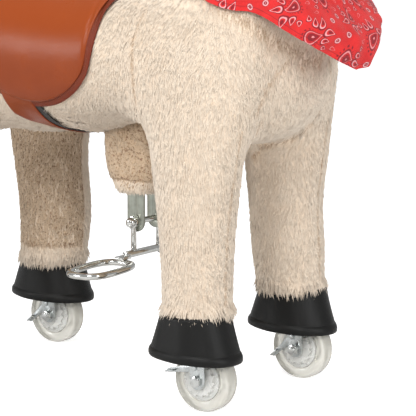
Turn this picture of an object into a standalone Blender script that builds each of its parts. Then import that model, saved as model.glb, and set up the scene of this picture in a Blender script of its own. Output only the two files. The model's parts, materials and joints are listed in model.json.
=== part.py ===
"""A plush ride-on horse on four ratchet wheels, for a child of about four to eight.

The rider bounces: the front and rear legs scissor about two shafts in the frame, and each wheel may roll
forwards only. Turning the head by its handlebar turns the front wheels. +X is forwards, +Y is the horse's
left, +Z is up, and the origin is on the floor midway between the four wheels. Lengths are in metres.
"""

import math

import bmesh
import bpy
from mathutils import Matrix, Vector
from mathutils.bvhtree import BVHTree

PART_NAME = "plush_ride_on_horse"

# Overall layout
WHEELBASE = 0.499
TRACK = 0.277
PIVOT_HEIGHT = 0.500
FRONT_LEG_BEHIND_WHEEL = 0.019
REAR_LEG_BEHIND_WHEEL = 0.008

# Clearances
GAP = 0.0003
RUNNING_GAP = 0.0003
SEWN_GAP = 0.0006
SWING_CLEARANCE = 0.0020
OVERRUN = 0.020

# Wheel and tyre
WHEEL_DIAMETER = 0.100
TYRE_WIDTH = 0.028
TYRE_INNER_RADIUS = 0.0326
RIM_WALL = 0.0042
RIM_HALF_WIDTH = 0.0125
HUB_RADIUS = 0.0105
HUB_HALF_LENGTH = 0.0215
WEB_THICKNESS = 0.0042
RIB_COUNT = 3
RIB_THICKNESS = 0.0024
RIB_SETBACK = 0.0020
RATCHET_TEETH = 14
RATCHET_TIP_RADIUS = 0.0270
RATCHET_ROOT_RADIUS = 0.0225
RATCHET_THICKNESS = 0.0040
CORE_SIDES = 14
TYRE_SIDES = 28

# Axle bolt
AXLE_DIAMETER = 0.010
HEX_ACROSS_FLATS = 0.016
BOLT_HEAD_HEIGHT = 0.0064
NUT_HEIGHT = 0.0080
THREAD_END = 0.0035

# Wheel fork
FORK_PLATE = 0.0030
FORK_INSIDE_WIDTH = 0.044
FORK_END_RADIUS = 0.0130
FORK_ABOVE_WHEEL = 0.012
FORK_TOP_PLATE = 0.0040
FORK_BACK_LENGTH = 0.036
STEM_DIAMETER = 0.0164
STEM_LENGTH = 0.140

# Ratchet pawl
PAWL_PLATE = 0.0030
PAWL_PIVOT_BACK = 0.005
PAWL_PIVOT_UP = 0.020
PAWL_LENGTH = 0.050
PAWL_BOSS_RADIUS = 0.0060
PAWL_TAIL_HALF_WIDTH = 0.0032
PAWL_LUG_SIZE = 0.0036
PAWL_LUG_CLEARANCE = 0.0007
PAWL_RIVET_DIAMETER = 0.005
PAWL_RIVET_HEAD_RADIUS = 0.0045
PAWL_RIVET_HEAD = 0.0015
PAWL_THUMB_WIDTH = 0.0110
PAWL_THUMB_LENGTH = 0.0140
PAWL_THUMB_THICKNESS = 0.0024
PAWL_DOWN_DEG = 42.0
PAWL_RAISED_DEG = 11.0

# Leg tube and pivot shafts
LEG_TUBE_DIAMETER = 0.025
EYE_DIAMETER = 0.036
EYE_LENGTH = 0.030
SHAFT_DIAMETER = 0.020
SHAFT_NUT_ACROSS_FLATS = 0.024
SHAFT_NUT_HEIGHT = 0.010

# Leg plush
LEG_CENTRE = 0.134
LEG_HALF_WIDTH = 0.065
LEG_DISC_RADIUS = 0.088
HEM_ABOVE_FORK = 0.038
LEG_SWING_DEG = 8.0
LEG_SIDES = 16

# Hoof cuff
CUFF_HALF_LENGTH = 0.077
CUFF_HALF_WIDTH = 0.062
CUFF_TOP_RADIUS = 0.054
CUFF_BELOW_FORK_TOP = 0.025
CUFF_TOE_DROP = 0.005
CUFF_WALL = 0.003
CUFF_TOP_THICKNESS = 0.004
CUFF_BAND_HEIGHT = 0.012
CUFF_BAND_PROUD = 0.0012
CUFF_SIDES = 16

# Body plush
BODY_OVERHANG = 0.1205
BODY_HALF_WIDTH = 0.195
BODY_HALF_HEIGHT = 0.145
BODY_ABOVE_PIVOT = 0.030
BODY_SIDES = 22
CAVITY_HALF_WIDTH = 0.058
CAVITY_BELOW_PIVOT = 0.035
CAVITY_ABOVE_BOARD = 0.006
CAVITY_BEHIND_SPINE = 0.010
CAVITY_AHEAD_OF_SPINE = 0.018
RECESS_WALL = 0.008

# Main frame
SPINE_ABOVE_PIVOT = 0.040
SPINE_DEPTH = 0.030
SPINE_WALL = 0.002
SPINE_BEHIND_PIVOT = 0.0285
SPINE_PAST_HEAD_TUBE = 0.0115
HOUSING_DIAMETER = 0.036
HOUSING_HALF_LENGTH = 0.050
BUSH_WALL = 0.0022
BRACKET_HALF_WIDTH = 0.016
HEAD_TUBE_DIAMETER = 0.040
HEAD_TUBE_LENGTH = 0.104
POST_DIAMETER = 0.020
SEAT_BOARD_LENGTH = 0.220
SEAT_BOARD_WIDTH = 0.100
SEAT_BOARD_THICKNESS = 0.008
SEAT_BOARD_CENTRE = -0.040
BOARD_ABOVE_SPINE = 0.054
POST_SPACING = 0.140

# Pedal post, its sleeve and the stirrups
PEDAL_X = 0.040
PEDAL_BAR_WIDTH = 0.032
PEDAL_BAR_THICKNESS = 0.004
PEDAL_BAR_OFFSET = 0.027
HANGER_LENGTH = 0.050
STIRRUP_BOLT_DIAMETER = 0.010
DOME_NUT_RADIUS = 0.0085
DOME_NUT_LENGTH = 0.010
HANGER_EYE_RADIUS = 0.0095
HANGER_ROD_DIAMETER = 0.009
CROSSBAR_BELOW_PIVOT = 0.293
CROSSBAR_DIAMETER = 0.012
CROSSBAR_HALF_LENGTH = 0.057
CROSSBAR_PAD_LENGTH = 0.018
CROSSBAR_PAD_THICKNESS = 0.005
CROSSBAR_PAD_WIDTH = 0.016
FOOT_LOOP_ROD_DIAMETER = 0.010
FOOT_LOOP_LENGTH = 0.130
FOOT_LOOP_WIDTH = 0.088
FOOT_LOOP_POWER = 2.7
SLEEVE_HALF_LENGTH = 0.060
SLEEVE_HALF_WIDTH = 0.055
SLEEVE_ABOVE_BOLT = 0.048
SLEEVE_INTO_BODY = 0.055
POST_SLOT_CLEARANCE = 0.0020

# Saddle, girth and seat
SADDLE_BACK = -0.218
SADDLE_FRONT = 0.150
SADDLE_MIDDLE = -0.034
SKIRT_DROP = 0.080
SKIRT_HEIGHT = 0.310
SKIRT_THICKNESS = 0.0070
GIRTH_THICKNESS = 0.0040
GIRTH_FRONT = -0.050
GIRTH_BACK = -0.109
GIRTH_STRAP_WIDTH = 0.024
GIRTH_TAB_DROP = 0.020
GIRTH_TAPER_DROP = 0.037
SEAT_HALF_WIDTH = 0.125
SEAT_BASE_RISE = 0.110
SEAT_CROWN = 0.105
HORN_RADIUS = 0.021
HORN_HEIGHT = 0.050

# Neck, head and steering
NECK_LEAN_DEG = 22.0
NECK_LENGTH = 0.215
NECK_HALF_WIDTH = 0.124
STEER_DIAMETER = 0.0288
STEER_COLLAR_RADIUS = 0.019
STEER_COLLAR_HEIGHT = 0.005
STEER_CLAMP_DIAMETER = 0.036
STEER_CLAMP_LENGTH = 0.040
HANDLEBAR_ALONG_NECK = 0.125
HANDLEBAR_DIAMETER = 0.022
HANDLEBAR_HALF_LENGTH = 0.170
GRIP_LENGTH = 0.074
GRIP_RADIUS = 0.0165
GRIP_FLANGE_RADIUS = 0.021
GRIP_FLANGE_WIDTH = 0.004
GRIP_END_WALL = 0.004
GRIP_GROOVES = 2
GRIP_GROOVE_DEPTH = 0.0012
HEAD_LENGTH = 0.235
HEAD_HALF_HEIGHT = 0.084
HEAD_HALF_WIDTH = 0.080
HEAD_SETBACK = 0.0025
HEAD_RISE = 0.2173
HEAD_DROOP_DEG = 33.0
EAR_LENGTH = 0.085
EAR_HALF_WIDTH = 0.021
EYE_RADIUS = 0.012
MANE_HALF_WIDTH = 0.026
MANE_DEPTH = 0.024
HALTER_THICKNESS = 0.0030
HALTER_WIDTH = 0.018

# Tail
TAIL_ROOT_RISE = 0.082
TAIL_LENGTH = 0.330
TAIL_REACH = 0.100
TAIL_RADIUS = 0.044

# Bandana
BANDANA_THICKNESS = 0.0030
BANDANA_TOP = 0.050
BANDANA_DEPTH = 0.116
BANDANA_FLARE = 0.067
BANDANA_LIFT = 0.0040
BANDANA_FOLD = 0.006
BANDANA_FOLD_COUNT = 7
BANDANA_SIDES = 30
BANDANA_ROWS = 4

# What follows from those sizes
WHEEL_RADIUS = WHEEL_DIAMETER / 2
AXLE_RADIUS = AXLE_DIAMETER / 2
HALF_TRACK = TRACK / 2
FORK_TOP_HEIGHT = WHEEL_DIAMETER + FORK_ABOVE_WHEEL
HEM_HEIGHT = FORK_TOP_HEIGHT + HEM_ABOVE_FORK
CUFF_BOTTOM_HEIGHT = FORK_TOP_HEIGHT - CUFF_BELOW_FORK_TOP
FRONT_WHEEL_X = WHEELBASE / 2
REAR_WHEEL_X = -WHEELBASE / 2
FRONT_LEG_X = FRONT_WHEEL_X - FRONT_LEG_BEHIND_WHEEL
REAR_LEG_X = REAR_WHEEL_X - REAR_LEG_BEHIND_WHEEL
BODY_HALF_LENGTH = WHEELBASE / 2 + BODY_OVERHANG
BODY_MIDDLE_HEIGHT = PIVOT_HEIGHT + BODY_ABOVE_PIVOT
SPINE_HEIGHT = PIVOT_HEIGHT + SPINE_ABOVE_PIVOT
SPINE_BACK = REAR_LEG_X - SPINE_BEHIND_PIVOT
SEAT_BOARD_TOP = SPINE_HEIGHT + BOARD_ABOVE_SPINE
CAVITY_BOTTOM = PIVOT_HEIGHT - CAVITY_BELOW_PIVOT
CAVITY_TOP = SEAT_BOARD_TOP + CAVITY_ABOVE_BOARD
CAVITY_BACK = SPINE_BACK - CAVITY_BEHIND_SPINE
CROSSBAR_HEIGHT = PIVOT_HEIGHT - CROSSBAR_BELOW_PIVOT
STIRRUP_PIVOT_HEIGHT = CROSSBAR_HEIGHT + HANGER_LENGTH
SLEEVE_BOTTOM = STIRRUP_PIVOT_HEIGHT + SLEEVE_ABOVE_BOLT
SLEEVE_TOP = BODY_MIDDLE_HEIGHT - BODY_HALF_HEIGHT + SLEEVE_INTO_BODY
SKIRT_BOTTOM = BODY_MIDDLE_HEIGHT - SKIRT_DROP
SKIRT_TOP = SKIRT_BOTTOM + SKIRT_HEIGHT
SEAT_BASE_HEIGHT = BODY_MIDDLE_HEIGHT + SEAT_BASE_RISE
TAIL_ROOT_HEIGHT = BODY_MIDDLE_HEIGHT + TAIL_ROOT_RISE
FORK_HALF_INSIDE = FORK_INSIDE_WIDTH / 2
FORK_HALF_OUTSIDE = FORK_HALF_INSIDE + FORK_PLATE
TUBE_BOTTOM = FORK_TOP_HEIGHT + GAP
RECESS_INNER = CAVITY_HALF_WIDTH + RECESS_WALL
LEG_INNER_FACE = LEG_CENTRE - LEG_HALF_WIDTH
SPINE_HALF_WIDTH = PEDAL_BAR_OFFSET - PEDAL_BAR_THICKNESS / 2 - GAP
BUSH_BORE = SHAFT_DIAMETER / 2 + RUNNING_GAP
BUSH_OUTER = BUSH_BORE + BUSH_WALL
HANGER_EYE_THICKNESS = HANGER_ROD_DIAMETER + 2 * GAP
CROSSBAR_PAD_BOTTOM = CROSSBAR_HEIGHT - CROSSBAR_DIAMETER / 2 + GAP
FOOT_LOOP_HEIGHT = CROSSBAR_PAD_BOTTOM - GAP - FOOT_LOOP_ROD_DIAMETER / 2
FOOT_LOOP_CENTRE = CROSSBAR_HALF_LENGTH + FOOT_LOOP_LENGTH / 2
SKIRT_OUTSIDE = SEWN_GAP + SKIRT_THICKNESS

UP = Vector((0, 0, 1))
FORWARD = Vector((1, 0, 0))
LEFT = Vector((0, 1, 0))
SIDES = {"left": 1, "right": -1}
AXLES = {"front": (FRONT_WHEEL_X, FRONT_LEG_X), "rear": (REAR_WHEEL_X, REAR_LEG_X)}


# Scene and helpers

for stray in list(bpy.data.objects):
    bpy.data.objects.remove(stray)

PARTS = bpy.data.collections.new(PART_NAME)
CUTTERS = bpy.data.collections.new("cutters")
for group in (PARTS, CUTTERS):
    bpy.context.scene.collection.children.link(group)


def finish(name, colour, roughness, metallic=0.0):
    """A plain Principled material."""
    material = bpy.data.materials.new(name)
    material.use_nodes = True
    shader = material.node_tree.nodes["Principled BSDF"]
    shader.inputs["Base Color"].default_value = (*colour, 1)
    shader.inputs["Roughness"].default_value = roughness
    shader.inputs["Metallic"].default_value = metallic
    return material


CREAM_PLUSH = finish("cream_plush", (0.80, 0.70, 0.58), 0.95)
TAN_PLUSH = finish("tan_plush", (0.62, 0.47, 0.34), 0.95)
MANE_PLUSH = finish("mane_plush", (0.86, 0.80, 0.70), 0.95)
BROWN_LEATHER = finish("brown_leather", (0.36, 0.10, 0.03), 0.42)
DARK_LEATHER = finish("dark_leather", (0.10, 0.04, 0.02), 0.45)
HOOF_RUBBER = finish("hoof_rubber", (0.012, 0.012, 0.012), 0.40)
ZINC = finish("zinc_plate", (0.55, 0.58, 0.56), 0.35, 1.0)
CHROME = finish("chrome", (0.75, 0.75, 0.75), 0.12, 1.0)
FRAME_PAINT = finish("frame_paint", (0.03, 0.03, 0.03), 0.50, 0.4)
NYLON = finish("nylon", (0.70, 0.70, 0.66), 0.50)
PLYWOOD = finish("plywood", (0.52, 0.36, 0.20), 0.70)
WHEEL_PLASTIC = finish("wheel_plastic", (0.72, 0.72, 0.70), 0.30)
CLEAR_TYRE = finish("clear_tyre", (0.80, 0.79, 0.76), 0.18)
GRIP_RUBBER = finish("grip_rubber", (0.05, 0.03, 0.02), 0.70)
RED_CLOTH = finish("red_cloth", (0.55, 0.02, 0.02), 0.85)

BODIES = {}


def pivot(name, place):
    """An empty on a joint's axis, which carries the pieces of one moving body."""
    empty = bpy.data.objects.new(name, None)
    empty.location = place
    PARTS.objects.link(empty)
    BODIES[name] = Vector(place)
    return empty


def publish(obj, material, body):
    """Makes an object one sub-part of the horse, carried by the empty of its body."""
    if obj.data.materials:
        obj.data.materials[0] = material
    else:
        obj.data.materials.append(material)
    for group in obj.users_collection:
        group.objects.unlink(obj)
    PARTS.objects.link(obj)
    if body:
        obj.parent = body
        obj.matrix_parent_inverse = Matrix.Translation(BODIES[body.name]).inverted()
    if obj.type == "MESH":
        obj.data.shade_smooth()
        obj.data.set_sharp_from_angle(angle=math.radians(35))
    return obj


def tool(obj):
    """Makes an object a cutter or a Boolean operand, which isn't part of the horse."""
    obj.hide_render = True
    obj.display_type = "WIRE"
    for group in obj.users_collection:
        group.objects.unlink(obj)
    CUTTERS.objects.link(obj)
    return obj


def combine(obj, other, operation):
    step = obj.modifiers.new(f"{operation.lower()} {other.name}", "BOOLEAN")
    step.operation = operation
    step.solver = "EXACT"
    step.object = tool(other)
    return obj


def cut(obj, *cutters):
    for cutter in cutters:
        combine(obj, cutter, "DIFFERENCE")
    return obj


def join(obj, *others):
    for other in others:
        combine(obj, other, "UNION")
    return obj


def keep_inside(obj, other):
    return combine(obj, other, "INTERSECT")


def mesh_object(name, shape):
    """An object in the scene from a bmesh, which is freed."""
    bmesh.ops.recalc_face_normals(shape, faces=shape.faces)
    mesh = bpy.data.meshes.new(name)
    shape.to_mesh(mesh)
    shape.free()
    obj = bpy.data.objects.new(name, mesh)
    bpy.context.scene.collection.objects.link(obj)
    return obj


def box(name, low, high):
    shape = bmesh.new()
    bmesh.ops.create_cube(shape, size=1)
    low, high = Vector(low), Vector(high)
    size = high - low
    bmesh.ops.scale(shape, vec=size, verts=shape.verts)
    bmesh.ops.translate(shape, vec=(low + high) / 2, verts=shape.verts)
    return mesh_object(name, shape)


def rod(name, start, end, radius, sides=16, turn=0.0):
    """A straight cylinder, or a prism for few sides, from one point to another."""
    start, end = Vector(start), Vector(end)
    shape = bmesh.new()
    bmesh.ops.create_cone(
        shape,
        cap_ends=True,
        segments=sides,
        radius1=radius,
        radius2=radius,
        depth=(end - start).length,
    )
    aim = (end - start).to_track_quat("Z", "Y").to_matrix().to_4x4()
    place = Matrix.Translation((start + end) / 2) @ aim @ Matrix.Rotation(turn, 4, "Z")
    bmesh.ops.transform(shape, matrix=place, verts=shape.verts)
    return mesh_object(name, shape)


def hexagon(name, start, end, across_flats):
    corner_radius = across_flats / 2 / math.cos(math.pi / 6)
    return rod(name, start, end, corner_radius, sides=6)


def turned(name, profile, place, along, start, sides):
    """A profile of (radius, height) points, turned about the line along, whose height is read on it.

    The profile runs down the outer side. A first and last point off the line close the profile to a ring.
    """
    shape = bmesh.new()
    points = [shape.verts.new((radius, 0, height)) for radius, height in profile]
    for a, b in zip(points, points[1:]):
        shape.edges.new((a, b))
    if profile[0][0] > 0:
        shape.edges.new((points[-1], points[0]))
    mesh = bpy.data.meshes.new(name)
    shape.to_mesh(mesh)
    shape.free()
    obj = bpy.data.objects.new(name, mesh)
    bpy.context.scene.collection.objects.link(obj)
    screw = obj.modifiers.new("turn", "SCREW")
    screw.steps = screw.render_steps = sides
    screw.use_merge_vertices = True
    screw.merge_threshold = 0.00001
    along, start = Vector(along).normalized(), Vector(start).normalized()
    across = along.cross(start)
    basis = Matrix((start, across, along)).transposed().to_4x4()
    obj.matrix_world = Matrix.Translation(place) @ basis
    return obj


def plate(name, outlines, thickness, centre_y):
    """A flat piece standing along X and Z. The first outline is its rim and any others are its holes."""
    curve = bpy.data.curves.new(name, "CURVE")
    curve.dimensions = "2D"
    curve.fill_mode = "BOTH"
    curve.extrude = thickness / 2
    for outline in outlines:
        spline = curve.splines.new("POLY")
        spline.points.add(len(outline) - 1)
        for point, (x, z) in zip(spline.points, outline):
            point.co = (x, z, 0, 1)
        spline.use_cyclic_u = True
    flat = bpy.data.objects.new(name, curve)
    bpy.context.scene.collection.objects.link(flat)
    flat.matrix_world = Matrix.Translation((0, centre_y, 0)) @ Matrix.Rotation(math.pi / 2, 4, "X")
    return solid_mesh(flat)


def solid_mesh(source):
    """Turns a curve object into a closed mesh object at the same place."""
    bpy.context.view_layer.update()
    evaluated = source.evaluated_get(bpy.context.evaluated_depsgraph_get())
    mesh = bpy.data.meshes.new_from_object(evaluated)
    place = source.matrix_world.copy()
    name = source.name
    bpy.data.objects.remove(source)
    shape = bmesh.new()
    shape.from_mesh(mesh)
    bpy.data.meshes.remove(mesh)
    bmesh.ops.remove_doubles(shape, verts=shape.verts, dist=0.00001)
    bmesh.ops.transform(shape, matrix=place, verts=shape.verts)
    return mesh_object(name, shape)


def bent_rod(name, points, radius, closed=False, resolution=2):
    """A round rod along a run of points."""
    curve = bpy.data.curves.new(name, "CURVE")
    curve.dimensions = "3D"
    curve.bevel_depth = radius
    curve.bevel_resolution = resolution
    curve.use_fill_caps = not closed
    spline = curve.splines.new("POLY")
    spline.points.add(len(points) - 1)
    for point, place in zip(spline.points, points):
        point.co = (*place, 1)
    spline.use_cyclic_u = closed
    obj = bpy.data.objects.new(name, curve)
    bpy.context.scene.collection.objects.link(obj)
    return solid_mesh(obj)


def arc(centre_x, centre_z, radius, start_deg, end_deg, steps):
    """Points of an arc in the plane of X and Z, from one angle to another."""
    angles = [start_deg + (end_deg - start_deg) * i / steps for i in range(steps + 1)]
    return [
        (centre_x + radius * math.cos(math.radians(a)), centre_z + radius * math.sin(math.radians(a)))
        for a in angles
    ]


def circle(centre_x, centre_z, radius, steps=10):
    return arc(centre_x, centre_z, radius, 0, 360, steps)[:-1]


def smooth_rows(rows, steps):
    """Rows of numbers read off a smooth curve through the given rows."""
    padded = [rows[0], *rows, rows[-1]]
    result = []
    for before, here, there, after in zip(padded, padded[1:], padded[2:], padded[3:]):
        for step in range(steps):
            t = step / steps
            row = []
            for p, q, r, s in zip(before, here, there, after):
                bend = (2 * p - 5 * q + 4 * r - s) * t * t + (3 * q - p - 3 * r + s) * t**3
                row.append(0.5 * (2 * q + (r - p) * t + bend))
            result.append(tuple(row))
    result.append(tuple(rows[-1]))
    return result


def oval(centre, across, up, half_across, half_up, half_down, sides, power=2.0):
    """A closed loop of points round a centre, whose lower half may be deeper than its upper half."""
    points = []
    for i in range(sides):
        angle = 2 * math.pi * i / sides
        side, rise = math.cos(angle), math.sin(angle)
        side = math.copysign(abs(side) ** (2 / power), side)
        rise = math.copysign(abs(rise) ** (2 / power), rise)
        height = half_up if rise > 0 else half_down
        points.append(centre + across * (half_across * side) + up * (height * rise))
    return points


def loft(name, rings):
    """A closed skin through rings of points, with flat ends."""
    shape = bmesh.new()
    loops = [[shape.verts.new(point) for point in ring] for ring in rings]
    for low, high in zip(loops, loops[1:]):
        for i in range(len(low)):
            j = (i + 1) % len(low)
            shape.faces.new((low[i], low[j], high[j]))
            shape.faces.new((low[i], high[j], high[i]))
    shape.faces.new(reversed(loops[0]))
    shape.faces.new(loops[-1])
    return mesh_object(name, shape)


def sections(rows, grow, sides, power=2.0):
    """Rings across the plane of symmetry from rows of x, z, tilt in degrees, rise, drop and half width.

    The tilt turns a ring from facing forwards to facing up. Growing a form moves its two ends out too.
    """
    rings = []
    for i, (x, z, tilt, rise, drop, across) in enumerate(rows):
        angle = math.radians(tilt)
        normal = Vector((math.cos(angle), 0, math.sin(angle)))
        up = Vector((-math.sin(angle), 0, math.cos(angle)))
        centre = Vector((x, 0, z))
        if i == 0:
            centre -= normal * grow
        if i == len(rows) - 1:
            centre += normal * grow
        rings.append(oval(centre, LEFT, up, across + grow, rise + grow, drop + grow, sides, power))
    return rings


# Body plush: barrel, chest, rump and the base of the neck, in one stuffed skin

BODY_SHARES = (
    (-1.000, 0.03, 0, 0.22, 0.22, 0.20),
    (-0.975, 0.03, 0, 0.48, 0.48, 0.42),
    (-0.900, 0.03, 0, 0.74, 0.74, 0.66),
    (-0.760, 0.03, 0, 0.92, 0.90, 0.84),
    (-0.550, 0.02, 0, 0.99, 0.97, 0.94),
    (-0.300, 0.00, 0, 0.97, 1.00, 0.99),
    (0.000, -0.03, 0, 0.92, 0.98, 1.00),
    (0.250, -0.02, 4, 0.95, 0.97, 1.00),
    (0.450, 0.06, 18, 0.98, 1.10, 0.97),
    (0.600, 0.27, 36, 0.93, 1.26, 0.90),
    (0.685, 0.55, 53, 0.88, 0.84, 0.80),
    (0.750, 0.86, 68, 0.855, 0.855, 0.636),
)
BODY_POWER = 2.15


def body_rows():
    rows = [
        (
            x * BODY_HALF_LENGTH,
            BODY_MIDDLE_HEIGHT + z * BODY_HALF_HEIGHT,
            tilt,
            rise * BODY_HALF_HEIGHT,
            drop * BODY_HALF_HEIGHT,
            across * BODY_HALF_WIDTH,
        )
        for x, z, tilt, rise, drop, across in BODY_SHARES
    ]
    return rows


def body_form(name, grow=0.0):
    return loft(name, sections(body_rows(), grow, BODY_SIDES, BODY_POWER))


NECK_ROOT_ROW = body_rows()[-1]
NECK_ROOT = Vector((NECK_ROOT_ROW[0], 0, NECK_ROOT_ROW[1]))
NECK_ANGLE = math.radians(90 - NECK_LEAN_DEG)
NECK_AXIS = Vector((math.cos(NECK_ANGLE), 0, math.sin(NECK_ANGLE)))


def up_neck(distance):
    """A point on the steering axis, so far above the joint between neck and body."""
    return NECK_ROOT + NECK_AXIS * distance


SPINE_FRONT = up_neck(-HEAD_TUBE_LENGTH).x + SPINE_PAST_HEAD_TUBE
CAVITY_FRONT = SPINE_FRONT + CAVITY_AHEAD_OF_SPINE


def leg_recess(name, leg_x, side):
    """The space in the body for a leg's round top, and for the leg to swing below it."""
    radius = LEG_DISC_RADIUS + SWING_CLEARANCE
    swing = math.radians(LEG_SWING_DEG)
    depth = PIVOT_HEIGHT - (BODY_MIDDLE_HEIGHT - BODY_HALF_HEIGHT) + OVERRUN
    spread = LEG_DISC_RADIUS / math.cos(swing) + depth * math.tan(swing) + SWING_CLEARANCE
    outline = arc(leg_x, PIVOT_HEIGHT, radius, 0, 180, 12)
    outline += [(leg_x - spread, PIVOT_HEIGHT - depth), (leg_x + spread, PIVOT_HEIGHT - depth)]
    width = BODY_HALF_WIDTH + OVERRUN - RECESS_INNER
    return plate(name, [outline], width, side * (RECESS_INNER + width / 2))


BODIES_AT = {
    "front_legs": (FRONT_LEG_X, 0, PIVOT_HEIGHT),
    "rear_legs": (REAR_LEG_X, 0, PIVOT_HEIGHT),
    "head": tuple(NECK_ROOT),
    "stirrup": (PEDAL_X, 0, STIRRUP_PIVOT_HEIGHT),
}
PIVOTS = {name: pivot(name, place) for name, place in BODIES_AT.items()}

body = body_form("body_plush")
cavity = box(
    "frame_cavity",
    (CAVITY_BACK, -CAVITY_HALF_WIDTH, CAVITY_BOTTOM),
    (CAVITY_FRONT, CAVITY_HALF_WIDTH, CAVITY_TOP),
)
slot_half_x = PEDAL_BAR_WIDTH / 2 + POST_SLOT_CLEARANCE
slot_half_y = PEDAL_BAR_OFFSET + PEDAL_BAR_THICKNESS / 2 + POST_SLOT_CLEARANCE
post_slot = box(
    "post_slot",
    (PEDAL_X - slot_half_x, -slot_half_y, SLEEVE_BOTTOM - OVERRUN),
    (PEDAL_X + slot_half_x, slot_half_y, CAVITY_BOTTOM + OVERRUN),
)
cut(body, cavity, post_slot)
cut(
    body,
    rod(
        "head_tube_hole",
        up_neck(-HEAD_TUBE_LENGTH - GAP),
        up_neck(OVERRUN),
        HEAD_TUBE_DIAMETER / 2 + SEWN_GAP,
    ),
)
for axle_name, (_, leg_x) in AXLES.items():
    for side_name, side in SIDES.items():
        cut(body, leg_recess(f"{axle_name}_{side_name}_recess", leg_x, side))
for axle_name, (_, leg_x) in AXLES.items():
    cut(
        body,
        rod(
            f"{axle_name}_shaft_hole",
            (leg_x, -RECESS_INNER - OVERRUN, PIVOT_HEIGHT),
            (leg_x, RECESS_INNER + OVERRUN, PIVOT_HEIGHT),
            SHAFT_DIAMETER / 2 + SWING_CLEARANCE,
            sides=12,
        ),
    )
publish(body, CREAM_PLUSH, None)


# Main frame: a box-section spine with two pivot housings, a head tube and two seat posts, all welded


def ring_profile(outer, inner, low, high):
    return [(outer, high), (outer, low), (inner, low), (inner, high)]


frame = box(
    "main_frame",
    (SPINE_BACK, -SPINE_HALF_WIDTH, SPINE_HEIGHT - SPINE_DEPTH / 2),
    (SPINE_FRONT, SPINE_HALF_WIDTH, SPINE_HEIGHT + SPINE_DEPTH / 2),
)
cut(
    frame,
    box(
        "spine_hollow",
        (
            SPINE_BACK - OVERRUN,
            -SPINE_HALF_WIDTH + SPINE_WALL,
            SPINE_HEIGHT - SPINE_DEPTH / 2 + SPINE_WALL,
        ),
        (
            SPINE_FRONT - HEAD_TUBE_DIAMETER,
            SPINE_HALF_WIDTH - SPINE_WALL,
            SPINE_HEIGHT + SPINE_DEPTH / 2 - SPINE_WALL,
        ),
    ),
)
for axle_name, (_, leg_x) in AXLES.items():
    join(
        frame,
        box(
            f"{axle_name}_bracket",
            (leg_x - BRACKET_HALF_WIDTH, -SPINE_HALF_WIDTH + SPINE_WALL, PIVOT_HEIGHT),
            (
                leg_x + BRACKET_HALF_WIDTH,
                SPINE_HALF_WIDTH - SPINE_WALL,
                SPINE_HEIGHT - SPINE_DEPTH / 2 + SPINE_WALL / 2,
            ),
        ),
        rod(
            f"{axle_name}_housing",
            (leg_x, -HOUSING_HALF_LENGTH, PIVOT_HEIGHT),
            (leg_x, HOUSING_HALF_LENGTH, PIVOT_HEIGHT),
            HOUSING_DIAMETER / 2,
        ),
    )
join(
    frame,
    rod("head_tube", up_neck(-HEAD_TUBE_LENGTH), up_neck(-GAP), HEAD_TUBE_DIAMETER / 2, sides=16),
)
post_low = SPINE_HEIGHT + SPINE_DEPTH / 2 - SPINE_WALL / 2
post_high = SEAT_BOARD_TOP - SEAT_BOARD_THICKNESS - GAP
for share in (-0.5, 0.5):
    post_x = SEAT_BOARD_CENTRE + share * POST_SPACING
    join(
        frame,
        rod(f"seat_post_{share}", (post_x, 0, post_low), (post_x, 0, post_high), POST_DIAMETER / 2, 16),
    )
for axle_name, (_, leg_x) in AXLES.items():
    cut(
        frame,
        rod(
            f"{axle_name}_housing_bore",
            (leg_x, -HOUSING_HALF_LENGTH - OVERRUN, PIVOT_HEIGHT),
            (leg_x, HOUSING_HALF_LENGTH + OVERRUN, PIVOT_HEIGHT),
            BUSH_OUTER + GAP,
        ),
    )
cut(
    frame,
    rod(
        "head_tube_bore",
        up_neck(-HEAD_TUBE_LENGTH - OVERRUN),
        up_neck(OVERRUN),
        STEER_DIAMETER / 2 + RUNNING_GAP,
        sides=16,
    ),
)
publish(frame, FRAME_PAINT, None)

seat_board = box(
    "seat_board",
    (
        SEAT_BOARD_CENTRE - SEAT_BOARD_LENGTH / 2,
        -SEAT_BOARD_WIDTH / 2,
        SEAT_BOARD_TOP - SEAT_BOARD_THICKNESS,
    ),
    (SEAT_BOARD_CENTRE + SEAT_BOARD_LENGTH / 2, SEAT_BOARD_WIDTH / 2, SEAT_BOARD_TOP),
)
publish(seat_board, PLYWOOD, None)

for axle_name, (_, leg_x) in AXLES.items():
    bush = turned(
        f"{axle_name}_pivot_bush",
        ring_profile(BUSH_OUTER, BUSH_BORE, -HOUSING_HALF_LENGTH, HOUSING_HALF_LENGTH),
        (leg_x, 0, PIVOT_HEIGHT),
        LEFT,
        UP,
        20,
    )
    publish(bush, NYLON, None)


# Pedal post: two flat bars on the spine's sides, and the plush sleeve that hides them under the belly

for side_name, side in SIDES.items():
    half = PEDAL_BAR_WIDTH / 2
    bar_bottom = STIRRUP_PIVOT_HEIGHT - GAP
    outline = arc(PEDAL_X, bar_bottom, half, 180, 360, 10)
    outline += [
        (PEDAL_X + half, SPINE_HEIGHT + SPINE_DEPTH / 2),
        (PEDAL_X - half, SPINE_HEIGHT + SPINE_DEPTH / 2),
    ]
    hole = circle(PEDAL_X, STIRRUP_PIVOT_HEIGHT, STIRRUP_BOLT_DIAMETER / 2 + RUNNING_GAP)
    bar = plate(
        f"pedal_bar_{side_name}", [outline, hole], PEDAL_BAR_THICKNESS, side * PEDAL_BAR_OFFSET
    )
    publish(bar, ZINC, None)

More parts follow.
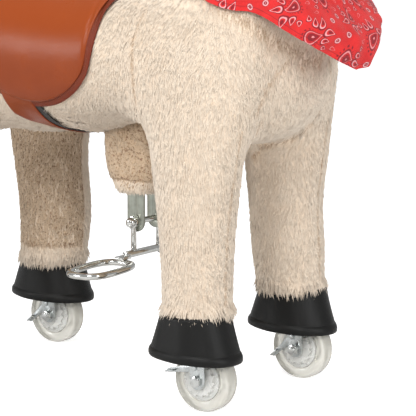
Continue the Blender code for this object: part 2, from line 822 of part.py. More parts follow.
SLEEVE_SHARES = (
    (1.00, 1.00, 1.00),
    (0.60, 0.95, 1.00),
    (0.28, 0.84, 0.98),
    (0.12, 0.74, 0.93),
    (0.03, 0.64, 0.86),
    (0.00, 0.54, 0.78),
)
sleeve_rings = [
    oval(
        Vector((PEDAL_X, 0, SLEEVE_BOTTOM + up * (SLEEVE_TOP - SLEEVE_BOTTOM))),
        FORWARD,
        LEFT,
        along * SLEEVE_HALF_LENGTH,
        across * SLEEVE_HALF_WIDTH,
        across * SLEEVE_HALF_WIDTH,
        16,
        power=3.0,
    )
    for up, along, across in SLEEVE_SHARES
]
sleeve = loft("pedal_post_sleeve", sleeve_rings)
sleeve_slot = box(
    "sleeve_slot",
    (PEDAL_X - slot_half_x, -slot_half_y, SLEEVE_BOTTOM - OVERRUN),
    (PEDAL_X + slot_half_x, slot_half_y, SLEEVE_TOP + OVERRUN),
)
cut(sleeve, body_form("belly_over_sleeve", SEWN_GAP), sleeve_slot)
publish(sleeve, TAN_PLUSH, None)


# Stirrups: a bolt through both bars, two hangers welded to a crossbar, and a rod loop for each foot

hanger_y = PEDAL_BAR_OFFSET + PEDAL_BAR_THICKNESS / 2 + RUNNING_GAP + HANGER_EYE_THICKNESS / 2
nut_inner = hanger_y + HANGER_EYE_THICKNESS / 2 + RUNNING_GAP
bolt_radius = STIRRUP_BOLT_DIAMETER / 2
DOME_SHARES = ((0.0, 1.0), (0.70, 0.86), (1.0, 0.40), (1.0, 0.0))
dome = [(r * DOME_NUT_RADIUS, nut_inner + h * DOME_NUT_LENGTH) for r, h in DOME_SHARES]
bolt_profile = dome + [(bolt_radius, nut_inner), (bolt_radius, -nut_inner)]
bolt_profile += [(r, -h) for r, h in reversed(dome)]
stirrup_bolt = turned(
    "stirrup_pivot_bolt",
    bolt_profile,
    (PEDAL_X, 0, STIRRUP_PIVOT_HEIGHT),
    LEFT,
    UP,
    12,
)
publish(stirrup_bolt, CHROME, None)

crossbar = rod(
    "stirrup_crossbar",
    (PEDAL_X, -CROSSBAR_HALF_LENGTH, CROSSBAR_HEIGHT),
    (PEDAL_X, CROSSBAR_HALF_LENGTH, CROSSBAR_HEIGHT),
    CROSSBAR_DIAMETER / 2,
    sides=12,
)
for side_name, side in SIDES.items():
    pad_ends = sorted(
        (
            side * (CROSSBAR_HALF_LENGTH - CROSSBAR_PAD_THICKNESS),
            side * (CROSSBAR_HALF_LENGTH + CROSSBAR_PAD_LENGTH),
        )
    )
    join(
        crossbar,
        rod(
            f"hanger_rod_{side_name}",
            (PEDAL_X, side * hanger_y, STIRRUP_PIVOT_HEIGHT - HANGER_EYE_RADIUS / 2),
            (PEDAL_X, side * hanger_y, CROSSBAR_HEIGHT),
            HANGER_ROD_DIAMETER / 2,
            sides=10,
        ),
        rod(
            f"hanger_eye_{side_name}",
            (PEDAL_X, side * hanger_y - HANGER_EYE_THICKNESS / 2, STIRRUP_PIVOT_HEIGHT),
            (PEDAL_X, side * hanger_y + HANGER_EYE_THICKNESS / 2, STIRRUP_PIVOT_HEIGHT),
            HANGER_EYE_RADIUS,
            sides=12,
        ),
        box(
            f"crossbar_pad_{side_name}",
            (PEDAL_X - CROSSBAR_PAD_WIDTH / 2, pad_ends[0], CROSSBAR_PAD_BOTTOM),
            (
                PEDAL_X + CROSSBAR_PAD_WIDTH / 2,
                pad_ends[1],
                CROSSBAR_PAD_BOTTOM + CROSSBAR_PAD_THICKNESS,
            ),
        ),
    )
eye_reach = hanger_y + HANGER_EYE_THICKNESS
cut(
    crossbar,
    rod(
        "hanger_eye_bore",
        (PEDAL_X, -eye_reach, STIRRUP_PIVOT_HEIGHT),
        (PEDAL_X, eye_reach, STIRRUP_PIVOT_HEIGHT),
        bolt_radius + RUNNING_GAP,
        sides=12,
    ),
)
publish(crossbar, CHROME, PIVOTS["stirrup"])

loop_half_x = (FOOT_LOOP_WIDTH - FOOT_LOOP_ROD_DIAMETER) / 2
loop_half_y = (FOOT_LOOP_LENGTH - FOOT_LOOP_ROD_DIAMETER) / 2
for side_name, side in SIDES.items():
    loop_path = oval(
        Vector((PEDAL_X, side * FOOT_LOOP_CENTRE, FOOT_LOOP_HEIGHT)),
        FORWARD,
        LEFT,
        loop_half_x,
        loop_half_y,
        loop_half_y,
        24,
        FOOT_LOOP_POWER,
    )
    foot_loop = bent_rod(
        f"foot_loop_{side_name}", loop_path, FOOT_LOOP_ROD_DIAMETER / 2, closed=True
    )
    publish(foot_loop, CHROME, PIVOTS["stirrup"])


# Wheels: a ratchet-toothed core with ribs, and a cast translucent tyre round it


def ratchet_outline(centre_x, centre_z):
    """Saw teeth whose steep sides meet the pawl when the wheel turns backwards."""
    points = []
    pitch = 360 / RATCHET_TEETH
    for tooth in range(RATCHET_TEETH):
        for radius, share in ((RATCHET_ROOT_RADIUS, 0.0), (RATCHET_TIP_RADIUS, 0.86)):
            angle = math.radians((tooth + share) * pitch)
            points.append((centre_x + radius * math.cos(angle), centre_z + radius * math.sin(angle)))
    return points


def make_core(name, wheel_x, wheel_y):
    rim_outer = TYRE_INNER_RADIUS - GAP
    rim_inner = rim_outer - RIM_WALL
    bore = AXLE_RADIUS + RUNNING_GAP
    web_low = -TYRE_WIDTH / 2
    web_high = web_low + WEB_THICKNESS
    profile = [
        (HUB_RADIUS, HUB_HALF_LENGTH),
        (HUB_RADIUS, web_high),
        (rim_inner, web_high),
        (rim_inner, RIM_HALF_WIDTH),
        (rim_outer, RIM_HALF_WIDTH),
        (rim_outer, -RIM_HALF_WIDTH),
        (rim_inner, web_low),
        (HUB_RADIUS, web_low),
        (HUB_RADIUS, -HUB_HALF_LENGTH),
        (bore, -HUB_HALF_LENGTH),
        (bore, HUB_HALF_LENGTH),
    ]
    half_step = math.pi / CORE_SIDES
    start = Vector((math.sin(half_step), 0, -math.cos(half_step)))
    core = turned(name, profile, (wheel_x, wheel_y, WHEEL_RADIUS), LEFT, start, CORE_SIDES)
    hole = circle(wheel_x, WHEEL_RADIUS, (HUB_RADIUS + bore) / 2, CORE_SIDES)
    teeth = plate(
        f"{name}_teeth",
        [ratchet_outline(wheel_x, WHEEL_RADIUS), hole],
        RATCHET_THICKNESS + WEB_THICKNESS / 2,
        wheel_y + web_low + WEB_THICKNESS / 4 - RATCHET_THICKNESS / 2,
    )
    join(core, teeth)
    rib_inner = (HUB_RADIUS + bore) / 2
    rib_outer = (rim_inner + rim_outer) / 2
    for rib in range(RIB_COUNT):
        angle = 2 * math.pi * rib / RIB_COUNT
        shape = bmesh.new()
        bmesh.ops.create_cube(shape, size=1)
        height = RIM_HALF_WIDTH - RIB_SETBACK - (web_low + web_high) / 2
        size = Vector((rib_outer - rib_inner, height, RIB_THICKNESS))
        bmesh.ops.scale(shape, vec=size, verts=shape.verts)
        middle = Vector(((rib_inner + rib_outer) / 2, (web_low + web_high) / 2 + height / 2, 0))
        bmesh.ops.translate(shape, vec=middle, verts=shape.verts)
        place = Matrix.Translation((wheel_x, wheel_y, WHEEL_RADIUS)) @ Matrix.Rotation(angle, 4, "Y")
        bmesh.ops.transform(shape, matrix=place, verts=shape.verts)
        join(core, mesh_object(f"{name}_rib_{rib}", shape))
    return core


TYRE_SHARES = ((0.0, 0.90), (0.50, 1.0), (0.88, 0.78), (1.0, 0.30))


def make_tyre(name, wheel_x, wheel_y):
    corner = 1 / math.cos(math.pi / TYRE_SIDES)
    depth = WHEEL_RADIUS * corner - TYRE_INNER_RADIUS
    rise = [(TYRE_INNER_RADIUS + r * depth, h * TYRE_WIDTH / 2) for r, h in TYRE_SHARES]
    profile = rise + [(r, -h) for r, h in reversed(rise)]
    half_step = math.pi / TYRE_SIDES
    start = Vector((math.sin(half_step), 0, -math.cos(half_step)))
    return turned(name, profile, (wheel_x, wheel_y, WHEEL_RADIUS), LEFT, start, TYRE_SIDES)


# Fork: a pressed U of two plates under a top plate, with a stem up into the leg tube


def make_fork(name, wheel_x, leg_x, wheel_y):
    back = wheel_x - FORK_BACK_LENGTH
    front = wheel_x + FORK_END_RADIUS
    plate_top = FORK_TOP_HEIGHT - FORK_TOP_PLATE / 4
    waist = WHEEL_RADIUS + FORK_END_RADIUS * 1.6
    outline = arc(wheel_x, WHEEL_RADIUS, FORK_END_RADIUS, 180, 360, 8)
    outline += [
        (front, plate_top),
        (back, plate_top),
        (back, plate_top - FORK_TOP_PLATE * 2),
        (wheel_x - FORK_END_RADIUS, waist),
    ]
    axle_hole = circle(wheel_x, WHEEL_RADIUS, AXLE_RADIUS + RUNNING_GAP)
    pawl_hole = circle(
        wheel_x - PAWL_PIVOT_BACK,
        WHEEL_RADIUS + PAWL_PIVOT_UP,
        PAWL_RIVET_DIAMETER / 2 + RUNNING_GAP,
        8,
    )
    plate_y = FORK_HALF_INSIDE + FORK_PLATE / 2
    overlap = FORK_PLATE / 10
    fork = box(
        name,
        (back - overlap, wheel_y - FORK_HALF_OUTSIDE - overlap, FORK_TOP_HEIGHT - FORK_TOP_PLATE),
        (front + overlap, wheel_y + FORK_HALF_OUTSIDE + overlap, FORK_TOP_HEIGHT),
    )
    stem_low = FORK_TOP_HEIGHT - FORK_TOP_PLATE / 2
    return join(
        fork,
        plate(f"{name}_near", [outline, axle_hole, pawl_hole], FORK_PLATE, wheel_y - plate_y),
        plate(f"{name}_far", [outline, axle_hole], FORK_PLATE, wheel_y + plate_y),
        rod(
            f"{name}_stem",
            (leg_x, wheel_y, stem_low),
            (leg_x, wheel_y, FORK_TOP_HEIGHT + STEM_LENGTH),
            STEM_DIAMETER / 2,
        ),
    )


def make_axle_bolt(name, wheel_x, wheel_y, side):
    face = FORK_HALF_OUTSIDE + FORK_PLATE / 10 + GAP
    head_end = wheel_y + side * (face + BOLT_HEAD_HEIGHT)
    nut_end = wheel_y - side * (face + NUT_HEIGHT)
    shank = rod(
        name,
        (wheel_x, wheel_y + side * (face + BOLT_HEAD_HEIGHT / 2), WHEEL_RADIUS),
        (wheel_x, nut_end - side * THREAD_END, WHEEL_RADIUS),
        AXLE_RADIUS,
        sides=12,
    )
    return join(
        shank,
        hexagon(
            f"{name}_head",
            (wheel_x, wheel_y + side * face, WHEEL_RADIUS),
            (wheel_x, head_end, WHEEL_RADIUS),
            HEX_ACROSS_FLATS,
        ),
        hexagon(
            f"{name}_nut",
            (wheel_x, wheel_y - side * face, WHEEL_RADIUS),
            (wheel_x, nut_end, WHEEL_RADIUS),
            HEX_ACROSS_FLATS,
        ),
    )


# Pawl: a plate on the right-hand side of each wheel, with a lug for the teeth and a thumb tail


def make_pawl(name, pivot_at, wheel_y, droop_deg, wheel_x):
    """Built about its rivet with its tail along -X, then turned down by its droop."""
    layer = wheel_y - FORK_HALF_INSIDE + GAP + PAWL_PLATE / 2
    tail = -PAWL_LENGTH
    tail_end = arc(tail, 0, PAWL_TAIL_HALF_WIDTH, 90, 270, 4)
    boss = arc(0, 0, PAWL_BOSS_RADIUS, -80, 80, 6)
    pawl = plate(name, [boss + tail_end], PAWL_PLATE, layer)

    down = math.radians(droop_deg)
    from_axle = Vector((pivot_at.x - wheel_x, pivot_at.z - WHEEL_RADIUS))
    reach = RATCHET_TIP_RADIUS + PAWL_LUG_CLEARANCE + PAWL_LUG_SIZE * 0.71
    aim = Vector((-math.cos(math.radians(PAWL_DOWN_DEG)), -math.sin(math.radians(PAWL_DOWN_DEG))))
    along = -from_axle.dot(aim) + math.sqrt(
        from_axle.dot(aim) ** 2 - from_axle.length_squared + reach**2
    )
    lug_low = layer + PAWL_PLATE / 4
    lug_high = wheel_y - TYRE_WIDTH / 2 - PAWL_LUG_CLEARANCE
    join(
        pawl,
        box(
            f"{name}_lug",
            (-along - PAWL_LUG_SIZE / 2, lug_low, -PAWL_LUG_SIZE / 2),
            (-along + PAWL_LUG_SIZE / 2, lug_high, PAWL_LUG_SIZE / 2),
        ),
        box(
            f"{name}_thumb",
            (tail, layer - PAWL_THUMB_WIDTH, -PAWL_THUMB_THICKNESS / 2),
            (tail + PAWL_THUMB_LENGTH, layer + PAWL_PLATE / 4, PAWL_THUMB_THICKNESS / 2),
        ),
        rod(
            f"{name}_rivet",
            (0, layer, 0),
            (0, wheel_y - FORK_HALF_OUTSIDE - GAP - PAWL_RIVET_HEAD / 2, 0),
            PAWL_RIVET_DIAMETER / 2,
            sides=8,
        ),
        rod(
            f"{name}_rivet_head",
            (0, wheel_y - FORK_HALF_OUTSIDE - GAP, 0),
            (0, wheel_y - FORK_HALF_OUTSIDE - GAP - PAWL_RIVET_HEAD, 0),
            PAWL_RIVET_HEAD_RADIUS,
            sides=8,
        ),
    )
    turn = Matrix.Translation(pivot_at) @ Matrix.Rotation(-down, 4, "Y")
    pawl.matrix_world = turn
    for step in pawl.modifiers:
        step.object.matrix_world = turn
    return pawl


for axle_name, (wheel_x, leg_x) in AXLES.items():
    for side_name, side in SIDES.items():
        wheel_y = side * HALF_TRACK
        where = f"{axle_name}_{side_name}"
        fork_body = PIVOTS["rear_legs"]
        if axle_name == "front":
            fork_body = pivot(f"{where}_steer", (leg_x, wheel_y, FORK_TOP_HEIGHT))
        wheel_body = pivot(f"{where}_wheel", (wheel_x, wheel_y, WHEEL_RADIUS))
        pawl_at = Vector((wheel_x - PAWL_PIVOT_BACK, wheel_y, WHEEL_RADIUS + PAWL_PIVOT_UP))
        pawl_body = pivot(f"{where}_pawl", pawl_at)
        publish(make_core(f"wheel_core_{where}", wheel_x, wheel_y), WHEEL_PLASTIC, wheel_body)
        publish(make_tyre(f"tyre_{where}", wheel_x, wheel_y), CLEAR_TYRE, wheel_body)
        publish(make_fork(f"fork_{where}", wheel_x, leg_x, wheel_y), ZINC, fork_body)
        publish(make_axle_bolt(f"axle_bolt_{where}", wheel_x, wheel_y, side), ZINC, fork_body)
        raised = where == "front_right"
        droop = PAWL_RAISED_DEG if raised else PAWL_DOWN_DEG
        pawl_place = Vector((pawl_at.x, 0, pawl_at.z))
        pawl = make_pawl(f"pawl_{where}", pawl_place, wheel_y, droop, wheel_x)
        publish(pawl, ZINC, pawl_body)


# Legs: a steel tube with an eye on its pivot shaft, a plush column over it and a rubber hoof cuff


def make_leg_tube(name, leg_x, leg_y):
    eye_half = EYE_LENGTH / 2
    tube = rod(
        name,
        (leg_x, leg_y, TUBE_BOTTOM),
        (leg_x, leg_y, PIVOT_HEIGHT),
        LEG_TUBE_DIAMETER / 2,
        sides=16,
    )
    eye = rod(
        f"{name}_eye",
        (leg_x, leg_y - eye_half, PIVOT_HEIGHT),
        (leg_x, leg_y + eye_half, PIVOT_HEIGHT),
        EYE_DIAMETER / 2,
    )
    join(tube, eye)
    return cut(
        tube,
        rod(
            f"{name}_eye_bore",
            (leg_x, leg_y - eye_half - OVERRUN, PIVOT_HEIGHT),
            (leg_x, leg_y + eye_half + OVERRUN, PIVOT_HEIGHT),
            SHAFT_DIAMETER / 2 + GAP,
        ),
        rod(
            f"{name}_stem_bore",
            (leg_x, leg_y, TUBE_BOTTOM - OVERRUN),
            (leg_x, leg_y, FORK_TOP_HEIGHT + STEM_LENGTH + GAP),
            STEM_DIAMETER / 2 + RUNNING_GAP,
        ),
    )


def make_shaft(name, leg_x):
    eye_face = HALF_TRACK + EYE_LENGTH / 2 + GAP
    shaft_end = eye_face + SHAFT_NUT_HEIGHT / 2
    shaft = rod(
        name, (leg_x, -shaft_end, PIVOT_HEIGHT), (leg_x, shaft_end, PIVOT_HEIGHT), SHAFT_DIAMETER / 2
    )
    for side in SIDES.values():
        nut = hexagon(
            f"{name}_nut_{side}",
            (leg_x, side * eye_face, PIVOT_HEIGHT),
            (leg_x, side * (eye_face + SHAFT_NUT_HEIGHT), PIVOT_HEIGHT),
            SHAFT_NUT_ACROSS_FLATS,
        )
        join(shaft, nut)
    return shaft


LEG_SHARES = (
    (0.00, 0.80, 0.80),
    (0.04, 0.84, 0.84),
    (0.18, 0.87, 0.88),
    (0.40, 0.95, 0.95),
    (0.62, 1.12, 0.99),
    (0.82, 1.31, 1.00),
    (1.00, 1.35, 1.00),
)
LEG_DOME_SHARES = ((0.0, 1.0), (0.68, 0.92), (0.96, 0.62), (1.0, 0.30), (1.0, -1.0), (0.0, -1.0))


def make_leg_plush(name, leg_x, side):
    """A column that swells upwards into a round top about the pivot's axis."""
    centre_y = side * LEG_CENTRE
    rings = []
    for up, along, across in LEG_SHARES:
        centre = Vector((leg_x, centre_y, HEM_HEIGHT + up * (PIVOT_HEIGHT - HEM_HEIGHT)))
        half_x = min(along * LEG_HALF_WIDTH, LEG_DISC_RADIUS) - GAP
        half_y = across * (LEG_HALF_WIDTH - GAP)
        rings.append(oval(centre, FORWARD, LEFT, half_x, half_y, half_y, LEG_SIDES))
    leg = loft(name, rings)
    dome_profile = [(r * LEG_DISC_RADIUS, h * LEG_HALF_WIDTH) for r, h in LEG_DOME_SHARES]
    dome = turned(
        f"{name}_top", dome_profile, (leg_x, centre_y, PIVOT_HEIGHT), LEFT * side, UP, LEG_SIDES
    )
    join(leg, dome)
    tube_hole = rod(
        f"{name}_tube_hole",
        (leg_x, side * HALF_TRACK, HEM_HEIGHT - OVERRUN),
        (leg_x, side * HALF_TRACK, PIVOT_HEIGHT),
        LEG_TUBE_DIAMETER / 2 + GAP,
        sides=16,
    )
    shaft_reach = HALF_TRACK + EYE_LENGTH / 2 + SHAFT_NUT_HEIGHT + SEWN_GAP
    eye_hole = rod(
        f"{name}_eye_hole",
        (leg_x, side * (LEG_INNER_FACE - OVERRUN), PIVOT_HEIGHT),
        (leg_x, side * shaft_reach, PIVOT_HEIGHT),
        EYE_DIAMETER / 2 + GAP,
    )
    return cut(leg, tube_hole, eye_hole)


CUFF_SHARES = ((1.00, 0.00), (0.72, 0.25), (0.42, 0.55), (0.192, 0.80), (0.188, 0.805), (0.00, 1.00))


def cuff_rings(leg_x, leg_y, inset, band, rows):
    """Ovals from the cuff's round top to its long rim, which is lower at the toe."""
    height = HEM_HEIGHT - CUFF_BOTTOM_HEIGHT
    rings = []
    for up, flare in rows:
        proud = band if up < CUFF_BAND_HEIGHT / height else 0.0
        half_x = CUFF_TOP_RADIUS + flare * (CUFF_HALF_LENGTH - CUFF_TOP_RADIUS) - inset + proud
        half_y = CUFF_TOP_RADIUS + flare * (CUFF_HALF_WIDTH - CUFF_TOP_RADIUS) - inset + proud
        level = CUFF_BOTTOM_HEIGHT + up * height - GAP
        ring = oval(Vector((leg_x, leg_y, level)), FORWARD, LEFT, half_x, half_y, half_y, CUFF_SIDES)
        for point in ring:
            point.z -= CUFF_TOE_DROP * flare * (point.x - leg_x) / CUFF_HALF_LENGTH
        rings.append(ring)
    return rings


def make_cuff(name, leg_x, leg_y):
    height = HEM_HEIGHT - CUFF_BOTTOM_HEIGHT
    cuff = loft(name, cuff_rings(leg_x, leg_y, 0.0, CUFF_BAND_PROUD, CUFF_SHARES))
    roof = 1 - CUFF_TOP_THICKNESS / height
    inner_rows = [(roof, 0.05), CUFF_SHARES[2], (-OVERRUN / height, 1.0)]
    inside = loft(f"{name}_inside", cuff_rings(leg_x, leg_y, CUFF_WALL, 0.0, inner_rows))
    tube_hole = rod(
        f"{name}_tube_hole",
        (leg_x, leg_y, CUFF_BOTTOM_HEIGHT),
        (leg_x, leg_y, HEM_HEIGHT + OVERRUN),
        LEG_TUBE_DIAMETER / 2 + GAP,
        sides=16,
    )
    return cut(cuff, inside, tube_hole)


for axle_name, (wheel_x, leg_x) in AXLES.items():
    legs = PIVOTS[f"{axle_name}_legs"]
    publish(make_shaft(f"{axle_name}_pivot_shaft", leg_x), ZINC, legs)
    for side_name, side in SIDES.items():
        where = f"{axle_name}_{side_name}"
        leg_y = side * HALF_TRACK
        publish(make_leg_tube(f"leg_tube_{where}", leg_x, leg_y), FRAME_PAINT, legs)
        publish(make_leg_plush(f"leg_plush_{where}", leg_x, side), CREAM_PLUSH, legs)
        publish(make_cuff(f"hoof_cuff_{where}", leg_x, leg_y), HOOF_RUBBER, legs)


# Saddle: a skirt that lies on the barrel with a flap down each side, a girth, and a crowned seat

SKIRT_FRONT_SHARES = (
    (1.00, 1.00),
    (0.98, 0.80),
    (0.86, 0.66),
    (0.72, 0.545),
    (0.645, 0.44),
    (0.63, 0.33),
    (0.60, 0.225),
    (0.475, 0.122),
    (0.26, 0.039),
    (0.05, 0.00),
)
SKIRT_BACK_SHARES = (
    (-0.17, 0.00),
    (-0.40, 0.045),
    (-0.66, 0.17),
    (-0.82, 0.34),
    (-0.95, 0.58),
    (-1.00, 0.72),
    (-1.00, 1.00),
)


def skirt_outline():
    rows = SKIRT_FRONT_SHARES + SKIRT_BACK_SHARES
    height = SKIRT_TOP - SKIRT_BOTTOM
    points = []
    for along, up in rows:
        reach = SADDLE_FRONT - SADDLE_MIDDLE if along > 0 else SADDLE_MIDDLE - SADDLE_BACK
        points.append((SADDLE_MIDDLE + along * reach, SKIRT_BOTTOM + up * height))
    return points


skirt_width = 2 * (BODY_HALF_WIDTH + OVERRUN)
skirt = body_form("saddle_skirt", SKIRT_OUTSIDE)
keep_inside(skirt, plate("skirt_pattern", [skirt_outline()], skirt_width, 0))
cut(skirt, body_form("barrel_under_skirt", SEWN_GAP))
publish(skirt, BROWN_LEATHER, None)

belly_bottom = BODY_MIDDLE_HEIGHT - BODY_HALF_HEIGHT
girth_outline = [
    (GIRTH_FRONT, SKIRT_BOTTOM + OVERRUN),
    (GIRTH_BACK, SKIRT_BOTTOM + OVERRUN),
    (GIRTH_BACK, SKIRT_BOTTOM - GIRTH_TAB_DROP),
    (GIRTH_FRONT - GIRTH_STRAP_WIDTH, SKIRT_BOTTOM - GIRTH_TAPER_DROP),
    (GIRTH_FRONT - GIRTH_STRAP_WIDTH, belly_bottom - OVERRUN),
    (GIRTH_FRONT, belly_bottom - OVERRUN),
]
girth = body_form("girth", SEWN_GAP + GIRTH_THICKNESS)
keep_inside(girth, plate("girth_pattern", [girth_outline], skirt_width, 0))
skirt_space = plate("skirt_space", [skirt_outline()], skirt_width, 0)
thicken = 1 + GAP / (SADDLE_FRONT - SADDLE_MIDDLE) * 4
for corner in skirt_space.data.vertices:
    corner.co.x = SADDLE_MIDDLE + (corner.co.x - SADDLE_MIDDLE) * thicken
    corner.co.z -= GAP * 2
cut(girth, body_form("barrel_under_girth", SEWN_GAP), skirt_space)
publish(girth, BROWN_LEATHER, None)

SEAT_SHARES = (
    (-1.04, 0.30, 0.30),
    (-1.00, 0.62, 0.66),
    (-0.90, 0.96, 0.92),
    (-0.72, 0.92, 1.00),
    (-0.40, 0.68, 1.00),
    (0.00, 0.58, 0.96),
    (0.40, 0.62, 0.88),
    (0.70, 0.76, 0.72),
    (0.86, 0.84, 0.56),
    (0.96, 0.66, 0.36),
    (1.00, 0.36, 0.18),
)
seat_rows = []
for along, crown, across in SEAT_SHARES:
    reach = SADDLE_FRONT - SADDLE_MIDDLE if along > 0 else SADDLE_MIDDLE - SADDLE_BACK
    seat_rows.append(
        (
            SADDLE_MIDDLE + along * reach,
            SEAT_BASE_HEIGHT,
            0,
            crown * SEAT_CROWN,
            across * SEAT_CROWN / 2,
            across * SEAT_HALF_WIDTH,
        )
    )
seat = loft("saddle_seat", sections(seat_rows, 0.0, 20, 2.3))
HORN_SHARES = ((0.0, 1.0), (0.8, 0.96), (1.0, 0.82), (0.95, 0.66), (0.55, 0.55), (0.62, 0.0), (0.0, 0.0))
horn_x = SADDLE_MIDDLE + 0.84 * (SADDLE_FRONT - SADDLE_MIDDLE)
horn_base = SEAT_BASE_HEIGHT + 0.70 * SEAT_CROWN
horn_profile = [(r * HORN_RADIUS, h * HORN_HEIGHT) for r, h in HORN_SHARES]
horn = turned("saddle_horn", horn_profile, (horn_x, 0, horn_base), UP, FORWARD, 10)
join(seat, horn)
cut(seat, body_form("barrel_under_seat", SKIRT_OUTSIDE + SEWN_GAP))
publish(seat, BROWN_LEATHER, None)


# Neck and head, which turn together on the steering stem

NECK_SHARES = (
    (0.00, 1.00, 1.00, 1.00),
    (0.14, 0.94, 0.94, 0.94),
    (0.28, 0.88, 0.88, 0.88),
    (0.50, 0.76, 0.73, 0.76),
    (0.72, 0.67, 0.63, 0.65),
    (0.88, 0.61, 0.57, 0.57),
    (0.97, 0.46, 0.44, 0.44),
    (1.00, 0.30, 0.28, 0.28),
)
NECK_TILT = 90 - NECK_LEAN_DEG


def neck_rows():
    rows = []
    for up, back, front, across in NECK_SHARES:
        centre = up_neck(GAP + up * NECK_LENGTH)
        rows.append(
            (
                centre.x,
                centre.z,
                NECK_TILT,
                back * NECK_HALF_WIDTH,
                front * NECK_HALF_WIDTH,
                across * NECK_HALF_WIDTH,
            )
        )
    return rows


def neck_form(name, grow=0.0):
    return loft(name, sections(neck_rows(), grow, 14))


HEAD_SHARES = (
    (0.00, 0.34, 0.34, 0.36),
    (0.04, 0.74, 0.72, 0.72),
    (0.16, 0.98, 0.98, 0.96),
    (0.36, 0.94, 1.08, 1.00),
    (0.56, 0.76, 0.88, 0.82),
    (0.74, 0.62, 0.68, 0.66),
    (0.88, 0.60, 0.60, 0.66),
    (0.97, 0.46, 0.46, 0.54),
    (1.00, 0.24, 0.24, 0.30),
)
HEAD_DROOP = math.radians(HEAD_DROOP_DEG)
HEAD_AXIS = Vector((math.cos(HEAD_DROOP), 0, -math.sin(HEAD_DROOP)))
head_up = Vector((math.sin(HEAD_DROOP), 0, math.cos(HEAD_DROOP)))


def along_head(distance):
    return NECK_ROOT + Vector((HEAD_SETBACK, 0, HEAD_RISE)) + HEAD_AXIS * distance


def head_rows():
    rows = []
    for along, rise, drop, across in HEAD_SHARES:
        centre = along_head(along * HEAD_LENGTH)
        rows.append(
            (
                centre.x,
                centre.z,
                -HEAD_DROOP_DEG,
                rise * HEAD_HALF_HEIGHT,
                drop * HEAD_HALF_HEIGHT,
                across * HEAD_HALF_WIDTH,
            )
        )
    return rows


def head_form(name, grow=0.0):
    return loft(name, sections(head_rows(), grow, 14, 2.1))


clamp_centre = up_neck(HANDLEBAR_ALONG_NECK)
neck = neck_form("neck_plush")
cut(
    neck,
    rod(
        "stem_channel",
        up_neck(-OVERRUN),
        up_neck(HANDLEBAR_ALONG_NECK + STEER_CLAMP_DIAMETER / 2 + SEWN_GAP),
        STEER_COLLAR_RADIUS + SEWN_GAP,
    ),
    rod(
        "clamp_space",
        clamp_centre - LEFT * (STEER_CLAMP_LENGTH / 2 + SEWN_GAP),
        clamp_centre + LEFT * (STEER_CLAMP_LENGTH / 2 + SEWN_GAP),
        STEER_CLAMP_DIAMETER / 2 + SEWN_GAP,
    ),
    rod(
        "handlebar_channel",
        clamp_centre - LEFT * HANDLEBAR_HALF_LENGTH,
        clamp_centre + LEFT * HANDLEBAR_HALF_LENGTH,
        HANDLEBAR_DIAMETER / 2 + GAP,
        sides=12,
    ),
)
publish(neck, CREAM_PLUSH, PIVOTS["head"])

EAR_SHARES = ((-0.30, 0.80), (0.00, 0.95), (0.30, 1.00), (0.60, 0.78), (0.85, 0.42), (1.00, 0.12))
EAR_FLATNESS = 0.42


def ear_form(name, side, grow=0.0):
    root = along_head(0.28 * HEAD_LENGTH) + head_up * HEAD_HALF_HEIGHT * 0.85
    root += LEFT * side * HEAD_HALF_WIDTH * 0.55
    lean = (UP + LEFT * side * 0.28 - FORWARD * 0.10).normalized()
    wide = (FORWARD * 0.45 + LEFT * side).cross(lean).cross(lean).normalized()
    thin = lean.cross(wide)
    rings = []
    for up, swell in EAR_SHARES:
        half_wide = swell * EAR_HALF_WIDTH + grow
        half_thin = swell * EAR_HALF_WIDTH * EAR_FLATNESS + grow
        centre = root + lean * (up * EAR_LENGTH)
        rings.append(oval(centre, wide, thin, half_wide, half_thin, half_thin, 8))
    return loft(name, rings)


def eye_form(name, side, grow=0.0):
    centre = along_head(0.44 * HEAD_LENGTH) + head_up * HEAD_HALF_HEIGHT * 0.30
    centre += LEFT * side * HEAD_HALF_WIDTH * 0.85
    shape = bmesh.new()
    bmesh.ops.create_uvsphere(shape, u_segments=10, v_segments=6, radius=EYE_RADIUS + grow)
    bmesh.ops.translate(shape, vec=centre, verts=shape.verts)
    return mesh_object(name, shape)


head = head_form("head_plush")
for side_name, side in SIDES.items():
    join(head, ear_form(f"ear_{side_name}", side), eye_form(f"eye_{side_name}", side))
cut(head, neck_form("neck_in_head", SEWN_GAP))
publish(head, CREAM_PLUSH, PIVOTS["head"])

# The mane follows the crest of the neck from the withers, between the ears and on to the brow
MANE_CREST_SHARES = ((0.30, 0.40), (0.38, 0.85), (0.52, 1.00), (0.66, 1.00), (0.80, 1.00))
FORELOCK_SHARES = (
    (0.06, 0.66, 24, 1.00),
    (0.20, 0.96, -10, 0.90),
    (0.34, 0.98, -30, 0.70),
    (0.46, 0.90, -36, 0.30),
)
mane_rows = []
for up, swell in MANE_CREST_SHARES:
    middle = up_neck(up * NECK_LENGTH)
    back = next(row[3] for row in neck_rows() if row[1] >= middle.z)
    crest = middle + Vector((-math.sin(NECK_ANGLE), 0, math.cos(NECK_ANGLE))) * back
    mane_rows.append((crest.x, crest.z, NECK_TILT, swell))
for along, rise, tilt, swell in FORELOCK_SHARES:
    crest = along_head(along * HEAD_LENGTH) + head_up * (rise * HEAD_HALF_HEIGHT)
    mane_rows.append((crest.x, crest.z, tilt, swell))
mane_rows = [
    (x, z, tilt, swell * MANE_DEPTH, MANE_DEPTH / 2, swell * MANE_HALF_WIDTH)
    for x, z, tilt, swell in mane_rows
]
mane = loft("mane", sections(mane_rows, 0.0, 10))
cut(
    mane,
    neck_form("neck_under_mane", SEWN_GAP),
    head_form("head_under_mane", 2 * SEWN_GAP + HALTER_THICKNESS),
    ear_form("left_ear_in_mane", 1, SEWN_GAP),
    ear_form("right_ear_in_mane", -1, SEWN_GAP),
)
publish(mane, MANE_PLUSH, PIVOTS["head"])

